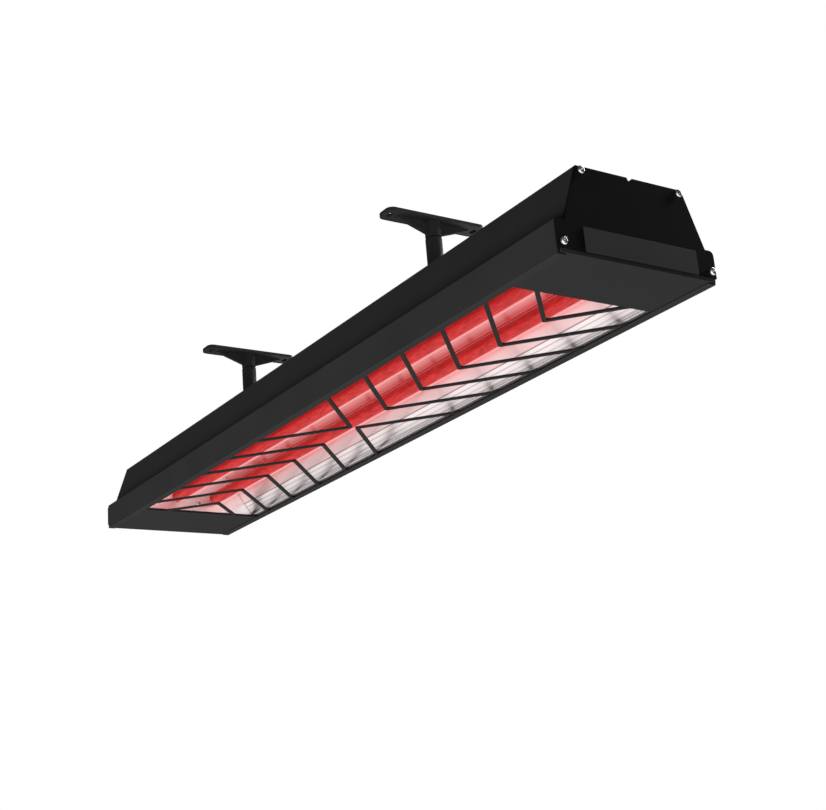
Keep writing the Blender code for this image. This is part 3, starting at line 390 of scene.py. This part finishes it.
def bump(tree, shader, height, distance, strength=0.5):
    """Feed a height in metres to the shader's normal."""
    node = tree.nodes.new("ShaderNodeBump")
    node.inputs["Strength"].default_value = strength
    node.inputs["Distance"].default_value = distance
    tree.links.new(height, node.inputs["Height"])
    tree.links.new(node.outputs["Normal"], shader.inputs["Normal"])


# %% [markdown]
# ### Coats and bare metals
# Paint, moulded plastic and fired clay are one family: two close tones, patchy gloss and fine
# grain. Drawn, rolled or turned metal is the other: marks along its length and soft smudges.
# Two functions make both families, and a table gives each finish its own values. The blacks
# differ on purpose, because powder coat, an extrusion's paint and satin paint aren't one black,
# and the brackets' powder coat is a lighter copy of it, as painted light on their shaded faces.

# %% Coats, plastics, ceramics and metals
GLOSS_SPREAD = 0.06
COAT_DEPTH = 0.03 * MM
DRAWN_DEPTH = 0.004 * MM
LACQUER_ROUGH = 0.03


def coated(name, dark, light, rough, specular, grain=2600.0, depth=COAT_DEPTH):
    """Paint, moulded plastic or fired clay: two close tones, patchy gloss and a fine grain."""
    material, tree, shader = new_finish(name, 0.0, specular)
    effect = place_group(tree, GRAIN, Scale=grain)
    colour = blend_colours(tree, effect.outputs["Patch"], dark, light)
    tree.links.new(colour, shader.inputs["Base Color"])
    gloss = between(tree, effect.outputs["Patch"], rough - GLOSS_SPREAD, rough + GLOSS_SPREAD)
    tree.links.new(gloss, shader.inputs["Roughness"])
    bump(tree, shader, effect.outputs["Height"], depth)
    return material


def drawn(name, dark, light, rough, across=900.0, along=6.0, coat=0.0):
    """Bare metal with drawn marks and finger-soft smudges."""
    material, tree, shader = new_finish(name, 1.0, 0.5, coat, LACQUER_ROUGH)
    effect = place_group(tree, STREAK, Across=across, Along=along)
    colour = blend_colours(tree, effect.outputs["Patch"], dark, light)
    tree.links.new(colour, shader.inputs["Base Color"])
    gloss = between(tree, effect.outputs["Patch"], rough * 0.8, rough * 1.25)
    tree.links.new(gloss, shader.inputs["Roughness"])
    bump(tree, shader, effect.outputs["Height"], DRAWN_DEPTH)
    return material


def grey(value):
    """A tone with red, green and blue alike."""
    return (value, value, value)


# Each row: darker tone, lighter tone, roughness, specular level and scale of the grain.
COATS = {
    "black_powder": (grey(0.0132), grey(0.0152), 0.62, 0.08),
    "black_extrusion": (grey(0.0150), grey(0.0175), 0.6, 0.08),
    # Painted light: the same black powder coat, made lighter on the brackets so their shaded
    # downward faces look lit.
    "bracket_powder_painted_lighter": (grey(0.0200), grey(0.0230), 0.62, 0.15),
    "black_satin": (grey(0.0032), grey(0.0038), 0.5, 0.04),
    "dark_plate": (grey(0.0175), grey(0.0195), 0.45, 0.2, 1500.0),
    "steatite": ((0.70, 0.66, 0.57), (0.80, 0.76, 0.67), 0.55, 0.4, 900.0),
    "black_nylon": (grey(0.011), grey(0.015), 0.42, 0.35, 1200.0),
    "lead_sleeve": ((0.48, 0.46, 0.42), (0.6, 0.58, 0.54), 0.8, 0.3, 700.0),
    "earth_sleeve": ((0.12, 0.36, 0.05), (0.5, 0.5, 0.05), 0.6, 0.3, 700.0),
}
# Each row: darker tone, lighter tone, roughness, marks across, marks along and clear coat.
METALS = {
    "polished_aluminium": ((0.88, 0.88, 0.89), (0.93, 0.93, 0.94), 0.40, 900.0, 6.0, 0.6),
    "stainless": ((0.55, 0.54, 0.52), (0.72, 0.71, 0.69), 0.22, 1500.0, 400.0),
    "zinc": ((0.42, 0.42, 0.40), (0.58, 0.58, 0.56), 0.38, 700.0, 300.0),
}
FINISH = {name: coated(name, *row) for name, row in COATS.items()}
FINISH.update({name: drawn(name, *row) for name, row in METALS.items()})
floor.data.materials.append(coated("floor", grey(0.78), grey(0.81), 0.8, 0.2, 60.0, 0.2 * MM))
print("finishes", sorted(FINISH))

# %% [markdown]
# ### Polished trough
# The reflector is folded from bright aluminium sheet. The lamps wash it with red, its folds are
# fine dark lines and its lips turn grey. Traced light would need far more samples to show that
# cleanly, and a model that is exported keeps none of it. So the red glow, grey painted
# reflections and the painted grey shade of the lips are one colour ramp over the distance from
# the middle plane, the folds are narrow lines of painted shade on it, and the rim is duller.

# %% Sheet with painted glow and shade
def tone(red, rest):
    """A red with green and blue alike."""
    return (red, rest, rest)


# Painted light: the tubes' red glow, grey painted reflections and the grey painted shade of the
# lips, by distance from the middle plane.
TROUGH_PAINTED_LIGHT = (
    (39 * MM, tone(0.97, 0.90)), (43.5 * MM, tone(0.80, 0.36)), (51 * MM, tone(0.48, 0.05)),
    (60.5 * MM, tone(0.76, 0.10)), (63.5 * MM, tone(0.82, 0.27)), (67.5 * MM, tone(0.90, 0.60)),
    (73.7 * MM, tone(0.93, 0.68)), (74.4 * MM, tone(0.90, 0.80)), (82.6 * MM, tone(0.86, 0.78)),
    (82.9 * MM, tone(0.50, 0.46)), (83.6 * MM, tone(0.40, 0.36)), (84.1 * MM, tone(0.66, 0.60)),
    (84.8 * MM, tone(0.40, 0.36)), (85.3 * MM, tone(0.92, 0.88)), (87.0 * MM, tone(0.96, 0.93)),
    (87.5 * MM, tone(0.52, 0.48)), (90.0 * MM, tone(0.48, 0.44)),
)
PAINTED_LIGHT_REACH = 96 * MM
# Painted shade: a dark line along each fold, with its place and strength.
FOLD_SHADE_LINES = ((74 * MM, 0.85), (77.6 * MM, 0.45), (81 * MM, 0.2))
FOLD_SOFT = 0.7 * MM
FOLD_SHADE = (*tone(0.28, 0.13), 1)
RIM_TOP = cad_low.z + 7.3 * MM
RIM_SOFT = 0.3 * MM
RIM_DULL = 0.62


def side_and_height(tree):
    """The distance from the middle plane and the height on the piece, as sockets."""
    axes = tree.nodes.new("ShaderNodeSeparateXYZ")
    tree.links.new(object_place(tree), axes.inputs[0])
    return arithmetic(tree, "ABSOLUTE", axes.outputs["Y"]), axes.outputs["Z"]


def mix_colours(tree, kind, factor, first, second):
    """Blend or multiply two colours by a factor."""
    node = tree.nodes.new("ShaderNodeMix")
    node.data_type = "RGBA"
    node.blend_type = kind
    feed(tree, node.inputs[0], factor)
    feed(tree, node.inputs[6], first)
    feed(tree, node.inputs[7], second)
    return node.outputs[2]


def trough_sheet():
    """Polished sheet with painted red glow beside the tubes, painted grey reflections and shade
    near its rim, painted shade in its folds, and a duller rim.
    """
    material, tree, shader = new_finish("trough_sheet", 1.0, 0.5, 0.6, LACQUER_ROUGH)
    effect = place_group(tree, STREAK, Across=900.0, Along=6.0)
    side, height = side_and_height(tree)
    # Painted light: the ramp of red glow, grey reflections and shade across the sheet.
    steps = [(place / PAINTED_LIGHT_REACH, colour) for place, colour in TROUGH_PAINTED_LIGHT]
    colour = colour_steps(tree, fade(tree, side, 0, PAINTED_LIGHT_REACH), steps)
    # Painted shade: darken the colour in a narrow line along each fold.
    for place, depth in FOLD_SHADE_LINES:
        off = arithmetic(tree, "ABSOLUTE", arithmetic(tree, "SUBTRACT", side, place))
        crease_shade = fade(tree, off, FOLD_SOFT * 0.3, FOLD_SOFT, depth, 0.0)
        colour = mix_colours(tree, "MIX", crease_shade, colour, FOLD_SHADE)
    smudge = between(tree, effect.outputs["Patch"], 0.96, 1.0)
    colour = mix_colours(tree, "MULTIPLY", 1.0, colour, smudge)
    tree.links.new(colour, shader.inputs["Base Color"])
    rim = fade(tree, height, RIM_TOP - RIM_SOFT, RIM_TOP, RIM_DULL, 0.0)
    gloss = between(tree, effect.outputs["Patch"], 0.34, 0.37)
    tree.links.new(arithmetic(tree, "ADD", gloss, rim), shader.inputs["Roughness"])
    bump(tree, shader, effect.outputs["Height"], DRAWN_DEPTH)
    return material


FINISH["trough_sheet"] = trough_sheet()
print("trough with", len(TROUGH_PAINTED_LIGHT), "steps of painted_glow_and_shade and", len(FOLD_SHADE_LINES), "fold marks")

# %% [markdown]
# ### Glowing quartz
# A lamp at work is a mottled red bar with a bright line along its underside. Its ruby coat
# spreads the wire's light and hides the wire. Red glass with a bright wire inside could be
# traced, but it stays noisy, and an export loses it. So the coat is opaque and glows by itself:
# a ramp over the height that paints its lower side brighter, clouds stretched along the tube,
# and a painted highlight below for the bright line.

# %% Ruby coat
# The coat's red glow over the height, painted brighter towards the lower side.
QUARTZ_GLOW_AND_SHEEN = (
    (0.0, tone(0.66, 0.060)), (0.13, tone(0.64, 0.052)), (0.23, tone(0.62, 0.048)),
    (0.35, tone(0.52, 0.026)), (0.48, tone(0.43, 0.013)), (0.65, tone(0.40, 0.010)),
    (0.95, tone(0.45, 0.022)),
)
QUARTZ_STRENGTH = 0.84
CLOUD_SCALE = (80, 380, 380)
CLOUD_DEPTH = 0.12 * MM
# Painted highlight: a bright line along the underside of each tube.
HIGHLIGHT_START = -2.0 * MM
HIGHLIGHT_FULL = -0.6 * MM
HIGHLIGHT_RISE = 2.6 * MM
HIGHLIGHT_COLOUR = (*tone(1.0, 0.42), 1)


def distance_from_tube(tree, axis):
    """Signed distance along Y from the middle of whichever tube the surface belongs to."""
    node = tree.nodes.new("ShaderNodeMath")
    node.operation = "WRAP"
    place = tree.nodes.new("ShaderNodeSeparateXYZ")
    tree.links.new(object_place(tree), place.inputs[0])
    tree.links.new(arithmetic(tree, "SUBTRACT", place.outputs["Y"], axis), node.inputs[0])
    node.inputs[1].default_value = -axis
    node.inputs[2].default_value = axis
    return node.outputs[0]


def ruby_quartz():
    """Ruby-coated quartz lit from inside: a mottled glow, painted brighter towards its underside,
    with a painted highlight along it.
    """
    low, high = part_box("quartz_tube_back")
    material, tree, shader = new_finish("red_quartz", 0.0, 0.05, 0.0, 0.06, 1.46)
    stretch = tree.nodes.new("ShaderNodeMapping")
    stretch.inputs["Scale"].default_value = CLOUD_SCALE
    tree.links.new(object_place(tree), stretch.inputs["Vector"])
    cloud = noise(tree, stretch.outputs["Vector"], 1.0, 6.0, 0.72)
    height = side_and_height(tree)[1]
    glow = colour_steps(tree, fade(tree, height, low.z, high.z), QUARTZ_GLOW_AND_SHEEN)
    glow = mix_colours(tree, "MULTIPLY", 1.0, glow, between(tree, cloud, 0.60, 1.22))
    # Painted highlight along the underside of the tube.
    from_axis = distance_from_tube(tree, (low.y + high.y) / 2)
    across = fade(tree, from_axis, HIGHLIGHT_START, HIGHLIGHT_FULL)
    under = fade(tree, height, low.z + HIGHLIGHT_RISE, low.z + HIGHLIGHT_RISE / 2)
    underside_highlight = arithmetic(tree, "MULTIPLY", across, under)
    glow = mix_colours(tree, "MIX", underside_highlight, glow, HIGHLIGHT_COLOUR)
    tree.links.new(glow, shader.inputs["Emission Color"])
    shader.inputs["Emission Strength"].default_value = QUARTZ_STRENGTH
    deep = blend_colours(tree, cloud, (0.04, 0.002, 0.002), (0.10, 0.004, 0.004))
    tree.links.new(deep, shader.inputs["Base Color"])
    shader.inputs["Roughness"].default_value = 0.16
    bump(tree, shader, cloud, CLOUD_DEPTH, 0.4)
    return material


FINISH["red_quartz"] = ruby_quartz()
print("ruby coat, strength", QUARTZ_STRENGTH)

# %% [markdown]
# ### Hot wire
# The heating wire runs at orange heat. A blackbody colour would make it evenly orange, but a
# real winding is brighter in slow waves, where its turns lie closer. A soft noise between two
# oranges gives that.

# %% Glowing element
WIRE_STRENGTH = 3.0


def hot_wire():
    """An element at orange-red heat, brighter in slow waves along its length."""
    material, tree, shader = new_finish("glowing_coil", 0.0, 0.2)
    wave = noise(tree, object_place(tree), 40.0, 2.0)
    glow = blend_colours(tree, wave, (0.9, 0.16, 0.05), (1.0, 0.34, 0.16))
    tree.links.new(glow, shader.inputs["Emission Color"])
    shader.inputs["Emission Strength"].default_value = WIRE_STRENGTH
    shader.inputs["Base Color"].default_value = (0.12, 0.05, 0.04, 1)
    shader.inputs["Roughness"].default_value = 0.6
    return material


FINISH["glowing_coil"] = hot_wire()
print("hot wire, strength", WIRE_STRENGTH)

# %% [markdown]
# ## Finish on every solid
# The record says which slot each node belongs to, so one loop gives every imported solid its
# finish, and puts it in the group of the panel that lights it. Each could be set by hand, but
# the table can't be forgotten when a piece is added. The trough has a finish of its own with
# painted glow and shade, and the brackets a lighter copy of the black with painted light.
# Pieces that get a better shape later take theirs from the same functions.

# %% Give each node its finish
slot_of = {row["node"]: row["material_slot"] for row in frame["record"]["subparts"]}
BRIGHT_SLOTS = ("polished_aluminium", "stainless")
BRACKETS = tuple(kind + side for kind in ("foot_", "post_", "saddle_")
                 for side in ("left", "right"))
# The brackets take the lighter copy of the black, as painted light.
OWN_FINISH = {"reflector": "trough_sheet", **{node: "bracket_powder_painted_lighter" for node in BRACKETS}}


def finish_for(node):
    """A node's own finish where it has one, or that of its slot."""
    return FINISH[OWN_FINISH.get(node, slot_of[node])]


def link_to_lights(node, piece):
    """Bright metal, brackets and all the rest each have a panel of their own."""
    group = "bright metal" if slot_of[node] in BRIGHT_SLOTS else "paint"
    if node in BRACKETS:
        group = "brackets"
    lit_group[group].objects.link(piece)


for name, solid in nodes.items():
    solid.data.materials.clear()
    solid.data.materials.append(finish_for(name))
    link_to_lights(name, solid)
print("finished", len(slot_of), "nodes")

# %% [markdown]
# ## Rounded edges
# Real sheet and extrusions have no knife edges: each corner has a small radius that catches a
# line of light. A Bevel node in the shader can fake that, but only in one renderer. Here a copy
# of the solid is merged, its triangles are joined into flat faces again, and a Bevel modifier
# rounds what is left. A Weighted Normal modifier keeps the flats looking flat beside it.

# %% Edge helpers
MERGE_GAP = 0.005 * MM
KEEP_WEIGHT = 60


def select_only(piece):
    """Make one piece the whole selection and the active object."""
    bpy.ops.object.select_all(action="DESELECT")
    piece.select_set(True)
    bpy.context.view_layer.objects.active = piece


def merged_copy(node, name):
    """A solid's mesh as a new piece, merged and with its flat faces whole again."""
    piece = bpy.data.objects.new(name, nodes[node].data.copy())
    bpy.context.scene.collection.objects.link(piece)
    select_only(piece)
    bpy.ops.mesh.customdata_custom_splitnormals_clear()
    bpy.ops.object.mode_set(mode="EDIT")
    bpy.ops.mesh.select_all(action="SELECT")
    bpy.ops.mesh.remove_doubles(threshold=MERGE_GAP)
    bpy.ops.mesh.tris_convert_to_quads(face_threshold=radians(0.5), shape_threshold=radians(60))
    bpy.ops.object.mode_set(mode="OBJECT")
    return piece


def apply_modifier(piece, kind, **values):
    """Add a modifier, set it and apply it at once."""
    select_only(piece)
    modifier = piece.modifiers.new(kind.lower(), kind)
    for label, value in values.items():
        setattr(modifier, label, value)
    bpy.ops.object.modifier_apply(modifier=modifier.name)


def round_edges(piece, width, segments=3, angle=30):
    """Round every edge sharper than an angle and keep flat faces flat."""
    select_only(piece)
    bpy.ops.object.shade_smooth()
    apply_modifier(piece, "BEVEL", width=width, segments=segments, limit_method="ANGLE",
                   angle_limit=radians(angle), miter_outer="MITER_ARC")
    apply_modifier(piece, "WEIGHTED_NORMAL", keep_sharp=True, weight=KEEP_WEIGHT)


def settle(piece, node, body):
    """Hand a finished piece to the model in place of its solid."""
    piece.data.materials.clear()
    piece.data.materials.append(finish_for(node))
    link_to_lights(node, piece)
    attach(piece, body)
    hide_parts(node)
    print(piece.name, len(piece.data.polygons), "faces")


# %% [markdown]
# ### Housing, caps, plate and brackets
# Each process leaves its own radius: half a millimetre on an extrusion, less on a cut plate and
# more on a cast foot. One width for all would blur the small plate's edge. A table
# gives each piece its width, and one loop rounds them all.

# %% Round the sheet and cast pieces
body_of = {node: body for body, members in frame["record"]["behaviour"]["bodies"].items()
           for node in members}
ROUNDING = {
    "housing": 0.5, "end_cap_left": 0.35, "end_cap_right": 0.35, "nameplate": 0.25,
    "foot_left": 0.7, "foot_right": 0.7, "post_left": 0.4, "post_right": 0.4,
    "saddle_left": 0.5, "saddle_right": 0.5,
}
for node, width in ROUNDING.items():
    shell = merged_copy(node, node + "_finished")
    round_edges(shell, width * MM)
    settle(shell, node, body_of[node])

# %% [markdown]
# ## Guard panel
# The guard is laser-cut from one sheet. Its chevron bars turn at the centre line with a soft
# corner, because a laser rounds its path there. The bars could be swept along a curve, but they
# would then only lie against the sheet. So in edit mode the upright edges near the centre line
# are picked by place and bevelled, and then the sheet's own edges get their small rounding.

# %% Guard with soft chevron corners
TURN_BAND = 7 * MM
TURN_RADIUS = 3.2 * MM
SAME_PLACE = 0.01 * MM


def pick_edges(piece, wanted):
    """Select edges in object mode by a test on their two ends, and go to edit mode."""
    select_only(piece)
    bpy.ops.object.mode_set(mode="EDIT")
    bpy.ops.mesh.select_mode(type="EDGE")
    bpy.ops.mesh.select_all(action="DESELECT")
    bpy.ops.object.mode_set(mode="OBJECT")
    mesh = piece.data
    for edge in mesh.edges:
        first, second = (mesh.vertices[index].co for index in edge.vertices)
        edge.select = wanted(first, second)
    bpy.ops.object.mode_set(mode="EDIT")


def upright_near_centre(first, second):
    """An edge through the sheet's thickness, where the bars turn."""
    flat = Vector((first.x - second.x, first.y - second.y)).length
    return flat < SAME_PLACE and abs(first.z - second.z) > MM and abs(first.y) < TURN_BAND


guard = merged_copy("guard_panel", "guard_sheet")
pick_edges(guard, upright_near_centre)
bpy.ops.mesh.bevel(offset=TURN_RADIUS, segments=5, affect="EDGES", clamp_overlap=True)
bpy.ops.object.mode_set(mode="OBJECT")
round_edges(guard, 0.2 * MM, 2)
settle(guard, "guard_panel", "heater")

# %% [markdown]
# ## Cap screws
# The end caps are held by stainless pan heads with a cross recess. A half sphere would make the
# head too round, so each is turned: a short cylinder whose outer rim is bevelled into a dome.
# Two crossed slots are cut for the driver, each screw stopped at another angle, and a plain
# shank is joined on behind.

# %% Turned heads with a cross recess
HEAD_HEIGHT = 2.9 * MM
HEAD_DOME = 1.5 * MM
HEAD_SIDES = 48
SHANK_RADIUS = 2.0 * MM
SHANK_SIDES = 32
SHANK_GAP = 0.1 * MM
RECESS_DEPTH = 2.0 * MM
RECESS = (RECESS_DEPTH, 5.0 * MM, 1.25 * MM)
RECESS_TURNS = (12, 51, 33, 78, 24, 66, 5, 41)


def cylinder_along_x(radius, start, end, y, z, sides):
    """A plain cylinder between two places on a line along X."""
    bpy.ops.object.select_all(action="DESELECT")
    bpy.ops.mesh.primitive_cylinder_add(vertices=sides, radius=radius, depth=abs(end - start),
                                        location=((start + end) / 2, y, z),
                                        rotation=(0, pi / 2, 0))
    bpy.ops.object.transform_apply(location=True, rotation=True, scale=True)
    return bpy.context.object


def cut_slot(head, place, turn):
    """Cut one bar-shaped slot into a head."""
    bpy.ops.object.select_all(action="DESELECT")
    bpy.ops.mesh.primitive_cube_add(size=1, location=place, rotation=(turn, 0, 0), scale=RECESS)
    slot = bpy.context.object
    bpy.ops.object.transform_apply(location=True, rotation=True, scale=True)
    apply_modifier(head, "BOOLEAN", object=slot, operation="DIFFERENCE", solver="EXACT")
    bpy.data.objects.remove(slot)


def cap_screw(node, turn):
    """A domed head with a cross recess and its shank, in one screw's box."""
    low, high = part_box(node)
    way = 1 if high.x > 0 else -1
    face, tip = (high.x, low.x) if way > 0 else (low.x, high.x)
    y = (low.y + high.y) / 2
    z = (low.z + high.z) / 2
    seat = face - way * HEAD_HEIGHT
    head = cylinder_along_x((high.z - low.z) / 2, seat, face, y, z, HEAD_SIDES)
    pick_edges(head, lambda a, b: max(abs(a.x - face), abs(b.x - face)) < SAME_PLACE)
    bpy.ops.mesh.bevel(offset=HEAD_DOME, segments=6, affect="EDGES")
    bpy.ops.object.mode_set(mode="OBJECT")
    for quarter in (0, pi / 2):
        cut_slot(head, (face - way * RECESS_DEPTH / 2, y, z), turn + quarter)
    shank = cylinder_along_x(SHANK_RADIUS, seat + way * SHANK_GAP, tip, y, z, SHANK_SIDES)
    select_only(head)
    shank.select_set(True)
    bpy.ops.object.join()
    bpy.ops.object.shade_smooth_by_angle(angle=radians(35))
    head.name = node + "_turned"
    settle(head, node, "heater")


cap_screws = sorted(node for node in nodes if node.startswith("cap_screw_"))
for node, turn in zip(cap_screws, RECESS_TURNS):
    cap_screw(node, radians(turn))

# %% [markdown]
# ## Reflector with pressed folds
# The trough is folded from one polished sheet, and a press brake leaves a small radius at each
# fold. A Bevel modifier would also round the sheet's cut ends. So the long edges of a copy are
# picked by their length and bevelled on both faces at once.

# %% Round the folds
FOLD_RADIUS = 0.9 * MM
FOLD_LENGTH = 0.5
RIM_WIDTH = 6 * MM
trough = merged_copy("reflector", "reflector_folded")
rim_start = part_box("reflector")[1].y - RIM_WIDTH


def long_fold(first, second):
    """An edge that runs along the trough, inside its flat rim."""
    return abs(first.x - second.x) > FOLD_LENGTH and abs(first.y) < rim_start


pick_edges(trough, long_fold)
bpy.ops.mesh.bevel(offset=FOLD_RADIUS, segments=3, affect="EDGES", clamp_overlap=False)
bpy.ops.object.mode_set(mode="OBJECT")
bpy.ops.object.shade_smooth_by_angle(angle=radians(12))
settle(trough, "reflector", "heater")

# %% [markdown]
# ## Quartz tubes
# Each lamp is a drawn quartz tube with a ruby coat, open at both ends where its ceramics hold
# it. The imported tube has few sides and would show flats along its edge. A new open cylinder
# has enough of them, and Solidify gives it its wall inwards, so its outside keeps its size.

# %% Tubes
TUBE_WALL = 1.3 * MM
TUBE_SIDES = 64


def quartz_tube(row):
    """An open tube with a wall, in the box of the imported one."""
    low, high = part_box("quartz_tube_" + row)
    middle = (low + high) / 2
    radius = (high.z - low.z) / 2
    bpy.ops.object.select_all(action="DESELECT")
    bpy.ops.mesh.primitive_cylinder_add(vertices=TUBE_SIDES, radius=radius,
                                        depth=high.x - low.x, end_fill_type="NOTHING",
                                        location=middle, rotation=(0, pi / 2, 0))
    tube = bpy.context.object
    tube.name = "quartz_" + row
    bpy.ops.object.transform_apply(location=True, rotation=True, scale=True)
    apply_modifier(tube, "SOLIDIFY", thickness=TUBE_WALL, offset=-1, use_even_offset=True)
    bpy.ops.object.shade_smooth_by_angle(angle=radians(40))
    settle(tube, "quartz_tube_" + row, "heater")


for row in ("front", "back"):
    quartz_tube(row)

# %% [markdown]
# ## Wound elements
# A resistance wire is wound from end to end in each tube. A curve with a round profile could
# follow a helix, but its points would all have to be worked out. A Screw modifier does it from
# one small circle, which it carries round and along, a turn every few millimetres. The coat
# hides the wire, but it is there for anyone who takes a tube off.

# %% Coils
WIRE_RADIUS = 0.6 * MM
WIRE_SIDES = 8
COIL_PITCH = 3.6 * MM
TURN_STEPS = 14


def wound_element(row):
    """One coil of wire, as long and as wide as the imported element."""
    low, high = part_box("heating_coil_" + row)
    middle = (low + high) / 2
    radius = (high.z - low.z) / 2 - WIRE_RADIUS
    turns = int((high.x - low.x - 2 * WIRE_RADIUS) / COIL_PITCH)
    bpy.ops.object.select_all(action="DESELECT")
    bpy.ops.mesh.primitive_circle_add(vertices=WIRE_SIDES, radius=WIRE_RADIUS,
                                      fill_type="NOTHING", location=(0, radius, 0),
                                      rotation=(pi / 2, 0, pi / 2))
    coil = bpy.context.object
    coil.name = "element_" + row
    bpy.ops.object.transform_apply(location=True, rotation=True, scale=True)
    apply_modifier(coil, "SCREW", axis="X", steps=TURN_STEPS, render_steps=TURN_STEPS,
                   iterations=turns, screw_offset=COIL_PITCH, use_smooth_shade=True)
    bpy.ops.object.mode_set(mode="EDIT")
    bpy.ops.mesh.select_all(action="SELECT")
    bpy.ops.mesh.normals_make_consistent(inside=False)
    bpy.ops.object.mode_set(mode="OBJECT")
    coil.location = (middle.x - turns * COIL_PITCH / 2, middle.y, middle.z)
    bpy.ops.object.transform_apply(location=True, rotation=True, scale=True)
    settle(coil, "heating_coil_" + row, "heater")


for row in ("front", "back"):
    wound_element(row)
